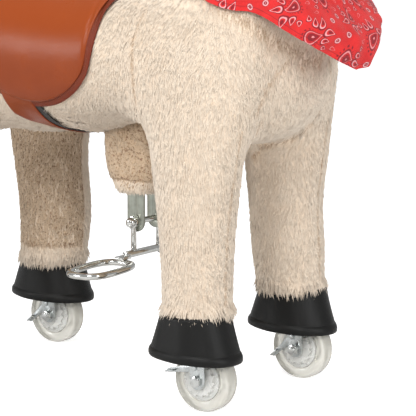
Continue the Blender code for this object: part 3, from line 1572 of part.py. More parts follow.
# Halter: a noseband and a crown strap joined by a strap along each cheek


def strap_outline(start, end, width):
    """A straight strap seen from the side, as four corners."""
    along = (end - start).normalized()
    across = Vector((-along.z, 0, along.x)) * (width / 2)
    corners = (start + across, end + across, end - across, start - across)
    return [(corner.x, corner.z) for corner in corners]


nose_at = along_head(0.655 * HEAD_LENGTH)
crown_at = along_head(0.13 * HEAD_LENGTH)
band_reach = 1.5 * HEAD_HALF_HEIGHT
halter_cloth = plate(
    "noseband_pattern",
    [strap_outline(nose_at - head_up * band_reach, nose_at + head_up * band_reach, HALTER_WIDTH)],
    4 * HEAD_HALF_WIDTH,
    0,
)
crown_band = strap_outline(
    crown_at - head_up * band_reach, crown_at + head_up * band_reach, HALTER_WIDTH
)
cheek = strap_outline(crown_at, nose_at, HALTER_WIDTH)
join(
    halter_cloth,
    plate("crown_pattern", [crown_band], 4 * HEAD_HALF_WIDTH + GAP, 0),
    plate("cheek_pattern", [cheek], 4 * HEAD_HALF_WIDTH - GAP, 0),
)
halter = head_form("halter", SEWN_GAP + HALTER_THICKNESS)
keep_inside(halter, halter_cloth)
cut(halter, head_form("head_under_halter", SEWN_GAP), neck_form("neck_under_halter", 2 * SEWN_GAP))
for side_name, side in SIDES.items():
    cut(
        halter,
        ear_form(f"{side_name}_ear_in_halter", side, SEWN_GAP),
        eye_form(f"{side_name}_eye_in_halter", side, SEWN_GAP),
    )
publish(halter, DARK_LEATHER, PIVOTS["head"])


# Steering: a stem in the head tube with a collar on it, a clamp, the handlebar and two grips

stem = rod(
    "steering_stem", up_neck(-HEAD_TUBE_LENGTH), clamp_centre, STEER_DIAMETER / 2, sides=16
)
join(
    stem,
    rod("steering_collar", up_neck(0), up_neck(STEER_COLLAR_HEIGHT), STEER_COLLAR_RADIUS, sides=16),
    rod(
        "steering_clamp",
        clamp_centre - LEFT * STEER_CLAMP_LENGTH / 2,
        clamp_centre + LEFT * STEER_CLAMP_LENGTH / 2,
        STEER_CLAMP_DIAMETER / 2,
    ),
)
cut(
    stem,
    rod(
        "clamp_bore",
        clamp_centre - LEFT * STEER_CLAMP_LENGTH,
        clamp_centre + LEFT * STEER_CLAMP_LENGTH,
        HANDLEBAR_DIAMETER / 2 + GAP,
        sides=12,
    ),
)
publish(stem, FRAME_PAINT, PIVOTS["head"])
handlebar = rod(
    "handlebar",
    clamp_centre - LEFT * HANDLEBAR_HALF_LENGTH,
    clamp_centre + LEFT * HANDLEBAR_HALF_LENGTH,
    HANDLEBAR_DIAMETER / 2,
    sides=12,
)
publish(handlebar, CHROME, PIVOTS["head"])


def grip_profile():
    """Down the outer side from the closed end to the flange, then up the bore."""
    bore = HANDLEBAR_DIAMETER / 2 + GAP
    end = HANDLEBAR_HALF_LENGTH + GAP + GRIP_END_WALL
    start = end - GRIP_LENGTH
    shoulder = GRIP_RADIUS * 0.85
    points = [(0, end), (shoulder, end), (GRIP_RADIUS, end - GRIP_END_WALL)]
    pitch = (GRIP_LENGTH - GRIP_END_WALL - GRIP_FLANGE_WIDTH) / (GRIP_GROOVES + 1)
    for groove in range(1, GRIP_GROOVES + 1):
        middle = end - GRIP_END_WALL - groove * pitch
        points += [
            (GRIP_RADIUS, middle + pitch / 5),
            (GRIP_RADIUS - GRIP_GROOVE_DEPTH, middle),
            (GRIP_RADIUS, middle - pitch / 5),
        ]
    points += [
        (GRIP_RADIUS, start + GRIP_FLANGE_WIDTH),
        (GRIP_FLANGE_RADIUS, start + GRIP_FLANGE_WIDTH),
        (GRIP_FLANGE_RADIUS, start),
        (bore, start),
        (bore, HANDLEBAR_HALF_LENGTH + GAP),
        (0, HANDLEBAR_HALF_LENGTH + GAP),
    ]
    return points


for side_name, side in SIDES.items():
    grip = turned(f"grip_{side_name}", grip_profile(), clamp_centre, LEFT * side, UP, 12)
    publish(grip, GRIP_RUBBER, PIVOTS["head"])


# Tail: a hank of long plush that springs from the rump and hangs

TAIL_SHARES = (
    (-0.20, 0.00, 180, 0.40),
    (0.10, 0.00, 182, 0.45),
    (0.42, -0.02, 200, 0.60),
    (0.68, -0.14, 238, 0.85),
    (0.80, -0.36, 262, 1.00),
    (0.82, -0.62, 270, 0.96),
    (0.79, -0.86, 274, 0.62),
    (0.78, -1.00, 276, 0.16),
)
rump_x = -BODY_HALF_LENGTH
tail_rows = [
    (
        rump_x - back * TAIL_REACH + GAP,
        TAIL_ROOT_HEIGHT + down * TAIL_LENGTH,
        tilt,
        swell * TAIL_RADIUS,
        swell * TAIL_RADIUS,
        swell * TAIL_RADIUS,
    )
    for back, down, tilt, swell in TAIL_SHARES
]
tail = loft("tail", sections(tail_rows, 0.0, 12))
cut(tail, body_form("rump_in_tail", SEWN_GAP))
publish(tail, MANE_PLUSH, None)


# Bandana: a kerchief round the base of the neck, whose front stands off the chest and falls to a point

BANDANA_HEM_SHARES = (
    (0.00, 1.00, 1.00),
    (0.17, 0.93, 0.84),
    (0.33, 0.80, 0.42),
    (0.50, 0.70, 0.10),
    (0.64, 0.50, 0.00),
    (0.78, 0.22, 0.00),
    (1.00, 0.12, 0.00),
)
BANDANA_FALL_SHARES = ((0.0, 0.0), (0.2, 0.30), (0.42, 0.92), (0.6, 1.0), (0.8, 1.0), (1.0, 0.97))


def read_rows(rows, at):
    """A row of values read off a table whose first column rises, at a place along it."""
    for low, high in zip(rows, rows[1:]):
        if at <= high[0]:
            share = (at - low[0]) / (high[0] - low[0])
            return [a + (b - a) * share for a, b in zip(low[1:], high[1:])]
    return rows[-1][1:]


def make_bandana():
    under = bmesh.new()
    for form in (body_form("body_under_cloth", SEWN_GAP), neck_form("neck_under_cloth", SEWN_GAP)):
        under.from_mesh(form.data)
        bpy.data.objects.remove(form)
    bmesh.ops.triangulate(under, faces=under.faces)
    surface = BVHTree.FromBMesh(under)
    under.free()
    fore = Vector((math.sin(NECK_ANGLE), 0, -math.cos(NECK_ANGLE)))
    hems = smooth_rows(BANDANA_HEM_SHARES, 4)
    falls = smooth_rows(BANDANA_FALL_SHARES, 4)
    shape = bmesh.new()
    grid = []
    for i in range(BANDANA_SIDES):
        turn = 2 * math.pi * i / BANDANA_SIDES
        outward = fore * math.cos(turn) + LEFT * math.sin(turn)
        hem, flare = read_rows(hems, abs(1 - abs(1 - turn / math.pi)))
        column = []
        for row in range(BANDANA_ROWS + 1):
            down = row / BANDANA_ROWS
            (swell,) = read_rows(falls, down)
            axis_point = up_neck(BANDANA_TOP - hem * BANDANA_DEPTH * down)
            hit = surface.ray_cast(axis_point + outward * BODY_HALF_LENGTH, -outward)[0]
            lying = (hit - axis_point).dot(outward) + BANDANA_LIFT + BANDANA_THICKNESS / 2
            fold = BANDANA_FOLD * math.sin(BANDANA_FOLD_COUNT * turn + 0.6) * down
            hanging = NECK_HALF_WIDTH + BANDANA_FLARE * flare * swell + fold * flare
            column.append(shape.verts.new(axis_point + outward * max(lying, hanging)))
        grid.append(column)
    for i in range(BANDANA_SIDES):
        here, there = grid[i], grid[(i + 1) % BANDANA_SIDES]
        for j in range(BANDANA_ROWS):
            shape.faces.new((here[j], here[j + 1], there[j + 1], there[j]))
    cloth = mesh_object("bandana", shape)
    wall = cloth.modifiers.new("thickness", "SOLIDIFY")
    wall.thickness = BANDANA_THICKNESS
    wall.offset = 0
    return cloth


publish(make_bandana(), RED_CLOTH, None)

bpy.context.view_layer.update()
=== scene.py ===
"""Plush ride-on horse on ratchet wheels: the dressed model, made piece by piece in the order of assembly."""

import json
import math

import bmesh
import bpy
import numpy as np
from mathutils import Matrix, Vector
from mathutils.bvhtree import BVHTree

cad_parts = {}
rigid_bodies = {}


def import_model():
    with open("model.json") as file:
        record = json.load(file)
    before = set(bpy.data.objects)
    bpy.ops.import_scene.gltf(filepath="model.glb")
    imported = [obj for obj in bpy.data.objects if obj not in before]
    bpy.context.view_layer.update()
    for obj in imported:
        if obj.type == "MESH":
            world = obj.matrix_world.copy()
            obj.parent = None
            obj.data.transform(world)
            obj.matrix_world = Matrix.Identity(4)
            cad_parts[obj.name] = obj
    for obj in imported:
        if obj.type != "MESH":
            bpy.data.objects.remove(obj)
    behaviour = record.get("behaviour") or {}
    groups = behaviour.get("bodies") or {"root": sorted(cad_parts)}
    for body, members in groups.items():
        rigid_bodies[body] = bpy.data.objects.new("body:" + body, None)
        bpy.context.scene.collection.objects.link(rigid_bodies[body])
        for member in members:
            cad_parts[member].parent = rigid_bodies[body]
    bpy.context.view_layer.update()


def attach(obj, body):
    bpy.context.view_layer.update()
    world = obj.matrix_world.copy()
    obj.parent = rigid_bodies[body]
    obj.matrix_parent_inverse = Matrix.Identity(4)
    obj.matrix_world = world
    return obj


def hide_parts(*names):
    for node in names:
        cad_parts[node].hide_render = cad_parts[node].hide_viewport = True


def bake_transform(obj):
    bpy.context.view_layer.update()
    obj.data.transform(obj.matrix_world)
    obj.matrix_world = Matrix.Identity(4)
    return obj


for stray in list(bpy.data.objects):
    bpy.data.objects.remove(stray)
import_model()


# Room: a matt white floor that runs out of sight, a pale surround, and a long lens that stands in
# front of the horse and to its right, as high as its head, and looks a little down at its legs.

LENS, SENSOR = 199.43, 36.0
STAND = Vector((2.1604, -2.9568, 0.8287))
HEADING, PITCH = math.radians(36.154), math.radians(8.216)
PHOTO_FOCUS = 2304.46
AIM_ACROSS, AIM_UP = 82.07 / PHOTO_FOCUS, -17.72 / PHOTO_FOCUS
FLOOR_RADIUS, FLOOR_GLOW, SURROUND_ON_HORSE, SURROUND_SEEN = 14, 0.66, 0.42, 1.0
# Each lamp's name, place, aim, size and power.
LAMPS = (
    ("key_light", (1.0, -3.2, 2.6), (0, 0, 0.4), 1.6, 74),
    ("fill_light", (3.4, -0.6, 1.5), (0, 0, 0.4), 1.6, 42),
    ("side_light", (-2.4, -3.2, 1.1), (0, 0, 0.45), 0.7, 36),
    ("top_light", (-0.4, 0.3, 3.4), (0, 0, 0.4), 2.2, 28),
)


class Signal:
    """A socket in a finish; arithmetic on it adds the Math nodes."""

    def __init__(self, finish, socket):
        self.finish, self.socket = finish, socket

    def math(self, operation, *others):
        return self.finish.node("Math", {"operation": operation}, dict(enumerate((self, *others))))

    def __add__(self, other):
        return self.math("ADD", other)

    def __sub__(self, other):
        return self.math("SUBTRACT", other)

    def __rsub__(self, other):
        return self.finish.node("Math", {"operation": "SUBTRACT"}, {0: other, 1: self})

    def __mul__(self, other):
        return self.math("MULTIPLY", other)

    def __truediv__(self, other):
        return self.math("DIVIDE", other)

    def __pow__(self, other):
        return self.math("POWER", other)

    __radd__, __rmul__ = __add__, __mul__

    def step(self, low, high):
        """0 below low, 1 above high, and smooth between them."""
        settings = {"interpolation_type": "SMOOTHSTEP"}
        return self.finish.node("MapRange", settings, {0: self, 1: low, 2: high})


class Finish:
    """A material on one Principled shader, made up node by node."""

    def __init__(self, name, colour, roughness, **constants):
        self.material = bpy.data.materials.new(name)
        self.material.use_nodes = True
        self.tree = self.material.node_tree
        self.shader = self.tree.nodes["Principled BSDF"]
        self.feed(Base_Color=colour, Roughness=roughness, **constants)

    def node(self, kind, settings=None, sockets=None, output=0):
        """A new node: its settings first, then the values or links of its sockets."""
        made = self.tree.nodes.new("ShaderNode" + kind)
        for name, value in (settings or {}).items():
            setattr(made, name, value)
        for name, value in (sockets or {}).items():
            self.plug(made.inputs[name], value)
        return Signal(self, made.outputs[output])

    def plug(self, socket, value):
        if isinstance(value, Signal):
            self.tree.links.new(value.socket, socket)
        elif isinstance(value, tuple) and len(value) == 3 and len(socket.default_value) == 4:
            socket.default_value = (*value, 1)
        else:
            socket.default_value = value

    def feed(self, **signals):
        for name, value in signals.items():
            self.plug(self.shader.inputs[name.replace("_", " ")], value)

    def place(self):
        return self.node("TexCoord", output="Object")

    def along(self, axis, place=None):
        """One coordinate of a place: 0 along the horse, 1 across it, 2 up."""
        return self.node("SeparateXYZ", {}, {0: place or self.place()}, axis)

    def stretched(self, scale, place=None):
        """Object coordinates, or other ones, scaled along each axis."""
        return self.node("Mapping", {}, {"Vector": place or self.place(), "Scale": scale})

    def noise(self, scale, detail=2.0, place=None, rough=0.5, warp=0.0):
        values = {"Vector": place or self.place(), "Scale": scale, "Detail": detail}
        return self.node("TexNoise", {}, {**values, "Roughness": rough, "Distortion": warp})

    def waves(self, axis, scale, place=None, warp=0.0):
        """Even bands across one axis, as in a weave or a stack of layers."""
        values = {"Vector": place or self.place(), "Scale": scale, "Distortion": warp}
        return self.node("TexWave", {"bands_direction": axis}, values)

    def mix(self, share, low, high):
        return self.node("Mix", {"data_type": "RGBA"}, {0: share, 6: low, 7: high}, 2)

    def bump(self, height, distance, strength=1.0):
        return self.node("Bump", {}, {"Height": height, "Distance": distance, "Strength": strength})


class Surround(Finish):
    """The world's nodes, made up in the same way."""

    def __init__(self, name):
        world = bpy.context.scene.world = bpy.data.worlds.new(name)
        world.use_nodes = True
        self.tree = world.node_tree
        self.shader = self.tree.nodes["Background"]


def srgb(red, green, blue):
    """A colour as a picture shows it, in the shader's own scale."""
    values = (red / 255, green / 255, blue / 255)
    return tuple(c / 12.92 if c < 0.04045 else ((c + 0.055) / 1.055) ** 2.4 for c in values)


def seen_directly(finish):
    """1 for what the camera sees, also through the clear tyres, and 0 for light on the horse."""
    camera, through = (finish.node("LightPath", output=f"Is {ray} Ray") for ray in ("Camera", "Transmission"))
    return camera.math("MAXIMUM", through)


def stand_at(place, look, held):
    """A camera or a lamp put at a place, looking along a line."""
    holder = bpy.data.objects.new(held.name, held)
    holder.location = place
    holder.rotation_mode = "QUATERNION"
    holder.rotation_quaternion = look.to_track_quat("-Z", "Y")
    bpy.context.scene.collection.objects.link(holder)
    return holder


behind = Vector((math.sin(HEADING) * math.cos(PITCH), -math.cos(HEADING) * math.cos(PITCH), math.sin(PITCH)))
aside = Vector((math.cos(HEADING), math.sin(HEADING), 0))
look = -behind + aside * AIM_ACROSS + behind.cross(aside) * AIM_UP
lens = bpy.data.cameras.new("camera")
lens.lens, lens.sensor_width = LENS, SENSOR
bpy.context.scene.camera = stand_at(STAND, look, lens)

floor_shape = bmesh.new()
bmesh.ops.create_circle(floor_shape, segments=64, radius=FLOOR_RADIUS, cap_ends=True)
floor_mesh = bpy.data.meshes.new("floor")
floor_shape.to_mesh(floor_mesh)
floor = bpy.data.objects.new("floor", floor_mesh)
bpy.context.scene.collection.objects.link(floor)
paper = Finish("white_floor", srgb(243, 243, 243), 0.95)
paper.feed(Emission_Color=(1.0, 1.0, 1.0), Emission_Strength=seen_directly(paper) * FLOOR_GLOW)
floor_mesh.materials.append(paper.material)

surround = Surround("pale_surround")
levels = {0: seen_directly(surround), 3: SURROUND_ON_HORSE, 4: SURROUND_SEEN}
surround.feed(Color=(1, 1, 1), Strength=surround.node("MapRange", {}, levels))

for lamp, place, aim, size, power in LAMPS:
    light = bpy.data.lights.new(lamp, "AREA")
    light.shape, light.size, light.energy = "DISK", size, power
    stand_at(place, Vector(aim) - Vector(place), light)

bpy.context.scene.view_settings.view_transform = "Standard"


# Frame: a steel spine with pivot housings, a head tube and two posts under a plywood seat board, all
# welded and painted black. The leg tubes swing on plated shafts that turn in two nylon bushes.

SIDES = {"left": 1, "right": -1}


def coat(node, finish):
    """A CAD solid keeps its shape and takes a finish."""
    slots = bpy.data.objects[node].data.materials
    slots.clear()
    slots.append(finish.material)


def plated(name, colour, roughness, along=(60, 60, 60)):
    """Zinc plate: a cool, slightly cloudy metal with fine drawn lines."""
    made = Finish(name, colour, roughness, Metallic=1.0)
    cloud = made.noise(90, 3, rough=0.6)
    lines = made.noise(1.0, 2, place=made.stretched(along))
    darker = tuple(c * 0.72 for c in colour)
    made.feed(Base_Color=made.mix((cloud * 0.6 + lines * 0.4).step(0.30, 0.66), darker, colour))
    made.feed(Roughness=roughness * 0.7 + cloud * roughness * 0.6)
    made.feed(Normal=made.bump(lines, 0.0002, 0.25))
    return made


black_enamel = Finish("frame_paint_finish", srgb(27, 27, 28), 0.36, Coat_Weight=0.25)
scuffs = black_enamel.noise(35, 4, rough=0.7).step(0.62, 0.74)
black_enamel.feed(Base_Color=black_enamel.mix(scuffs * 0.5, srgb(24, 24, 25), srgb(74, 72, 70)))
black_enamel.feed(Roughness=0.30 + scuffs * 0.25)
black_enamel.feed(Normal=black_enamel.bump(black_enamel.noise(500, 2), 0.0002, 0.4))

nylon = Finish("nylon_finish", srgb(222, 219, 206), 0.42, Subsurface_Weight=0.05)
clouds = nylon.noise(120, 2)
nylon.feed(Base_Color=nylon.mix(clouds, srgb(212, 208, 192), srgb(232, 230, 220)))
nylon.feed(Roughness=0.36 + clouds * 0.12)

plywood = Finish("plywood_finish", srgb(200, 164, 116), 0.6)
grain = plywood.noise(1.0, 5, place=plywood.stretched((14, 220, 220)), rough=0.62, warp=0.8)
layers = plywood.waves("Z", 100.0, warp=0.5)
plywood.feed(Base_Color=plywood.mix(grain * 0.8 + layers * 0.2, srgb(160, 118, 74), srgb(216, 184, 136)))
plywood.feed(Normal=plywood.bump(grain, 0.0005, 0.4))

shaft_zinc = plated("shaft_zinc_finish", srgb(196, 200, 196), 0.30, (90, 900, 90))
for node in ("main_frame", "steering_stem"):
    coat(node, black_enamel)
coat("seat_board", plywood)
for axle in ("front", "rear"):
    coat(f"{axle}_pivot_bush", nylon)
    coat(f"{axle}_pivot_shaft", shaft_zinc)
    for side_name in SIDES:
        coat(f"leg_tube_{axle}_{side_name}", black_enamel)


# Body: barrel, chest and rump are one sewn skin of short cream plush, stuffed firm round the frame.
# The pile is combed back along the barrel and down the sides, in small locks.

BODY_HALF_LENGTH, BODY_HALF_WIDTH, BODY_HALF_HEIGHT, BODY_MIDDLE = 0.370, 0.195, 0.145, 0.530
# Along the back, from rump to neck: place, rise of the middle, tilt, then rise, drop and half width.
BODY_SHARES = (
    (-1.000, 0.03, 0, 0.22, 0.22, 0.20), (-0.975, 0.03, 0, 0.48, 0.48, 0.42),
    (-0.900, 0.03, 0, 0.74, 0.74, 0.66), (-0.760, 0.03, 0, 0.92, 0.90, 0.84),
    (-0.550, 0.02, 0, 0.99, 0.97, 0.94), (-0.300, 0.00, 0, 0.97, 1.00, 0.99),
    (0.000, -0.03, 0, 0.92, 0.90, 1.00), (0.130, -0.025, 2, 0.935, 0.80, 1.00),
    (0.250, -0.02, 4, 0.95, 0.78, 1.00), (0.450, 0.06, 18, 0.98, 1.10, 0.97),
    (0.600, 0.27, 36, 0.93, 1.26, 0.87), (0.685, 0.55, 53, 0.88, 0.84, 0.80),
    (0.750, 0.86, 68, 0.855, 0.855, 0.636),
)
PILE_DEPTH, GIRTH_X = 0.004, -0.076
# The fold under the barrel: its height, both ends, how it fades, and its share of the width.
BELLY_FOLD, FOLD_BACK, FOLD_FRONT, FOLD_SOFT, FOLD_FADE, FOLD_SHARE = 0.443, -0.03, 0.20, 0.014, 0.04, 0.070
# The groove that the girth presses into the belly: where it starts, how it fades, and how deep it is.
GROOVE_TOP, GROOVE_FLOOR, GROOVE_FADE, GROOVE_LONG = 0.462, 0.43, 0.03, 0.030
GROOVE_SHARE, GROOVE_LIFT = 0.065, 0.012
UP, FORWARD, LEFT = Vector((0, 0, 1)), Vector((1, 0, 0)), Vector((0, 1, 0))

# The root colours are painted shade between the locks, and the dark brown below is painted shade in creases.
CREAM_TIP, CREAM_MID, CREAM_ROOT = srgb(247, 231, 211), srgb(237, 217, 194), srgb(200, 172, 142)
CREASE_SHADE = srgb(158, 120, 98)


def plush(name, tip, middle, root, speckle=0.0):
    """Short pile in soft patches, pale at the tip, with painted shade at the root and in creases."""
    made = Finish(name, middle, 0.88, Sheen_Weight=0.18, Sheen_Roughness=0.6)
    depth = made.node("Attribute", {"attribute_name": "depth"}, output="Fac")
    lock = made.node("Attribute", {"attribute_name": "lock"}, output="Fac")
    patches = made.noise(26, 3, rough=0.6)
    streaks = made.noise(1.0, 2, place=made.stretched((420, 420, 90)))
    # Through the depth the tone paints shade between the locks; the lock, patches and streaks are the pile's
    # own tone.
    tone = depth * 0.52 + lock * 0.26 + patches * 0.34 + streaks * 0.20
    if speckle:
        # The curls darken the tone in specks: painted shade between the curls.
        curls = made.noise(260, 2, rough=0.7)
        tone = tone - curls.step(0.52, 0.68) * speckle
    colours = made.mix(tone.step(0.12, 0.62), root, middle)
    colours = made.mix(tone.step(0.50, 1.05), colours, tip)
    # Where the depth drops below zero, in seams and creases, the pile turns dark brown: painted shade.
    colours = made.mix(tone.step(-0.25, 0.22), CREASE_SHADE, colours)
    fine = made.noise(1.0, 2, place=made.stretched((900, 900, 200)))
    made.feed(Base_Color=colours, Normal=made.bump(fine, 0.0012, 0.5))
    return made


cream_plush = plush("cream_plush_finish", CREAM_TIP, CREAM_MID, CREAM_ROOT)
# A darker, browner plush with curls: the curls are its own, and its darker tone is painted shade where it
# lies under the barrel.
shaded_curly_pile = plush(
    "shaded_curly_pile_finish", srgb(228, 206, 180), srgb(206, 179, 148), srgb(148, 116, 88), speckle=0.7
)


def smooth_rows(rows, steps):
    """Rows of numbers read off a smooth curve through the given rows."""
    padded = [rows[0], *rows, rows[-1]]
    result = []
    for before, here, there, after in zip(padded, padded[1:], padded[2:], padded[3:]):
        for step in range(steps):
            t = step / steps
            row = []
            for p, q, r, s in zip(before, here, there, after):
                bend = (2 * p - 5 * q + 4 * r - s) * t * t + (3 * q - p - 3 * r + s) * t**3
                row.append(0.5 * (2 * q + (r - p) * t + bend))
            result.append(tuple(row))
    result.append(tuple(rows[-1]))
    return result


def squared(value, power):
    """A circle's coordinate drawn out towards a rounded square."""
    return math.copysign(abs(value) ** (2 / power), value)


def add_ring(shape, sides, centre, across, up, reach, rise, drop, power=2.0):
    """One ring of a form: half width reach across, with its own rise above and drop below."""
    ring = bmesh.ops.create_circle(shape, segments=sides, radius=1)["verts"]
    for point in ring:
        side, height = point.co.x, point.co.y
        side, height = squared(side, power) * reach, squared(height, power)
        height *= rise if height > 0 else drop
        point.co = centre + across * side + up * height
    return ring


def bridge_rings(shape, rings, caps=True):
    """Skin between each ring and the next, with a flat face at both ends."""
    edges = [list({edge for point in ring for edge in point.link_edges}) for ring in rings]
    for low, high in zip(edges, edges[1:]):
        bmesh.ops.bridge_loops(shape, edges=low + high)
    if caps:
        bmesh.ops.contextual_create(shape, geom=edges[0])
        bmesh.ops.contextual_create(shape, geom=edges[-1])


def along_rows(shape, rows, sides, power=2.0, sink=0.0):
    """Rings across the plane of symmetry from rows of x, z, tilt, rise, drop and half width."""
    rings = []
    for i, (x, z, tilt, rise, drop, reach) in enumerate(rows):
        angle = math.radians(tilt)
        run = Vector((math.cos(angle), 0, math.sin(angle)))
        up = Vector((-math.sin(angle), 0, math.cos(angle)))
        centre = Vector((x, 0, z))
        centre += run * sink * ((i == 0) - (i == len(rows) - 1))
        halves = [max(half - sink, 0.001) for half in (reach, rise, drop)]
        rings.append(add_ring(shape, sides, centre, LEFT, up, *halves, power))
    bridge_rings(shape, rings)


def settle(name, shape, finish, slot, body=None, levels=0, sharp=None, bevel=0.0):
    """A finished piece: normals outwards, modifiers applied, material and body given."""
    bmesh.ops.recalc_face_normals(shape, faces=shape.faces)
    mesh = bpy.data.meshes.new(name)
    shape.to_mesh(mesh)
    shape.free()
    piece = bpy.data.objects.new(name, mesh)
    bpy.context.scene.collection.objects.link(piece)
    if bevel:
        edge = piece.modifiers.new("worn_edges", "BEVEL")
        edge.width, edge.segments, edge.limit_method = bevel, 2, "ANGLE"
        edge.angle_limit = math.radians(35)
    if levels:
        finer = piece.modifiers.new("smooth", "SUBSURF")
        finer.levels = finer.render_levels = levels
    if piece.modifiers:
        bpy.context.view_layer.update()
        graph = bpy.context.evaluated_depsgraph_get()
        applied = bpy.data.meshes.new_from_object(piece.evaluated_get(graph))
        piece.modifiers.clear()
        piece.data = applied
        bpy.data.meshes.remove(mesh)
        applied.name = name
    piece.data.materials.clear()
    piece.data.materials.append(finish.material)
    piece.data.shade_smooth()
    if sharp is not None:
        piece.data.set_sharp_from_angle(angle=math.radians(sharp))
    if body:
        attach(piece, body)
    return piece


def surface_of(*pieces):
    """What a ray or a nearest-point search meets on finished pieces."""
    merged = bmesh.new()
    for piece in pieces:
        merged.from_mesh(piece.data)
    tree = BVHTree.FromBMesh(merged)
    merged.free()
    return tree


def steady_depth(piece, value=0.35):
    """The skin under the pile takes the same painted shade as the roots."""
    for attribute, level in (("depth", value), ("lock", 0.4)):
        values = np.full(len(piece.data.vertices), level)
        piece.data.attributes.new(attribute, "FLOAT", "POINT").data.foreach_set("value", values)


def portion(gone, whole):
    """How much of a whole length is gone past, from 0 to 1."""
    return min(max(gone / whole, 0.0), 1.0)


body_rows = []
for x, z, tilt, rise, drop, reach in BODY_SHARES:
    halves = (rise * BODY_HALF_HEIGHT, drop * BODY_HALF_HEIGHT, reach * BODY_HALF_WIDTH)
    body_rows.append((x * BODY_HALF_LENGTH, BODY_MIDDLE + z * BODY_HALF_HEIGHT, tilt, *halves))
body_shape = bmesh.new()
along_rows(body_shape, smooth_rows(body_rows, 2), 40, 2.15, PILE_DEPTH)
body_skin = settle("body_skin", body_shape, cream_plush, "cream_plush", "chassis", levels=1)
for vertex in body_skin.data.vertices:
    x, z = vertex.co.x, vertex.co.z
    under = portion(BELLY_FOLD - z, FOLD_SOFT)
    under *= portion(x - FOLD_BACK, FOLD_FADE) * portion(FOLD_FRONT - x, FOLD_FADE)
    pulled = math.exp(-(((x - GIRTH_X) / GROOVE_LONG) ** 2)) * portion(GROOVE_TOP - z, GROOVE_FADE)
    vertex.co.y *= 1 - FOLD_SHARE * under - GROOVE_SHARE * pulled
    vertex.co.z += GROOVE_LIFT * pulled * portion(GROOVE_FLOOR - z, GROOVE_FADE)
body_skin.data.update()
steady_depth(body_skin)
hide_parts("body_plush")
body_surface = surface_of(body_skin)


# Legs: a stuffed column of the same plush round each steel tube, wide at the shoulder, where it is
# sewn into the body, and cut off in a loose, ragged hem just above the hoof.

LEG_X = {"front": 0.2305, "rear": -0.2575}
LEG_Y, HEM_HEIGHT, PIVOT_HEIGHT = 0.134, 0.150, 0.500
# Up the leg, as shares of its length: half length, half width, and how far it leans inwards.
LEG_SHARES = (
    (-0.03, 0.66, 0.66, 0.0), (-0.01, 0.82, 0.82, 0.0), (0.04, 0.86, 0.86, 0.0),
    (0.18, 0.87, 0.88, 0.0), (0.40, 0.95, 0.95, 0.0), (0.62, 1.12, 0.99, 0.0),
    (0.82, 1.31, 1.00, -0.002), (1.00, 1.35, 0.94, -0.008), (1.12, 1.20, 0.80, -0.018),
    (1.20, 0.88, 0.60, -0.028), (1.24, 0.50, 0.40, -0.034),
)
LEG_HALF_WIDTH = 0.065
# Two legs stand unevenly: heights, then how far the cloth leans forward and swells, in millimetres.
LEG_STANCE = {
    "front_left": ((0.0, 0.03, 0.17, 0.386, 0.63, 0.97), (-1, -2, -7, -12, -12, -18), (0, 1, 4.5, 0, 0, 0)),
    "rear_left": ((0.0, 0.03, 0.20, 0.28, 0.52, 1.0), (4, 6, 11, 10.5, 0, 0), (2, 4, 6, 5, 0, 0)),
}
HOLLOW_REACH = 0.055


def gap_to(surface, point):
    """How far a point is off a skin, less than zero inside it."""
    hit, facing, _, gap = surface.find_nearest(point)
    return -gap if (point - hit).dot(facing) < 0 else gap


def ease_together(piece, own, others, reach):
    """Swells a skin where it nears its neighbours, so that they meet in a soft hollow, as sewn cloth does."""
    for vertex in piece.data.vertices:
        start, out = vertex.co.copy(), vertex.normal.copy()
        place = start.copy()
        if min(abs(gap_to(other, start)) for other in others) > reach:
            continue
        for _ in range(4):
            level = gap_to(own, place)
            for other in others:
                near = max(gap_to(other, place), 0.0)
                share = max(reach - abs(level - near), 0.0) / reach
                level = min(level, near) - share * share * reach / 4
            place -= out * level
        if (place - start).length < reach * 0.6:
            vertex.co = place
    piece.data.update()


CORNERS = {f"{axle}_{name}": (axle, side) for axle in LEG_X for name, side in SIDES.items()}
leg_skins = {}
for where, (axle, side) in CORNERS.items():
    shape = bmesh.new()
    rings = []
    stance = LEG_STANCE.get(where, ((0.0,), (0,), (0,)))
    for up, along, reach, shift in smooth_rows(LEG_SHARES, 3):
        height = HEM_HEIGHT + up * (PIVOT_HEIGHT - HEM_HEIGHT)
        lean, fuller = (0.001 * float(np.interp(up, stance[0], line)) for line in stance[1:])
        centre = Vector((LEG_X[axle] + lean, side * (LEG_Y + shift), height))
        half_x = along * LEG_HALF_WIDTH - PILE_DEPTH + fuller
        half_y = reach * LEG_HALF_WIDTH - PILE_DEPTH + fuller
        rings.append(add_ring(shape, 32, centre, FORWARD, LEFT, half_x, half_y, half_y))
    bridge_rings(shape, rings)
    skin = settle(f"leg_skin_{where}", shape, cream_plush, "cream_plush", levels=1)
    steady_depth(skin)
    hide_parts(f"leg_plush_{where}")
    leg_skins[where] = skin

bare = {where: surface_of(skin) for where, skin in leg_skins.items()}
ease_together(body_skin, body_surface, list(bare.values()), HOLLOW_REACH)
for where, skin in leg_skins.items():
    ease_together(skin, bare[where], [body_surface], HOLLOW_REACH)
body_surface = surface_of(body_skin)


# Hooves: a flared cuff of black leatherette over a stiff liner, closed on top under the hem of the
# leg and open below, with a wide band turned up round the rim.

CUFF_TOP, CUFF_BOTTOM, CUFF_ROUND, CUFF_LONG, CUFF_WIDE = 0.1497, 0.0815, 0.054, 0.076, 0.062
CUFF_WALL, CUFF_BAND, TOE_DROP = 0.0028, 0.0007, 0.005
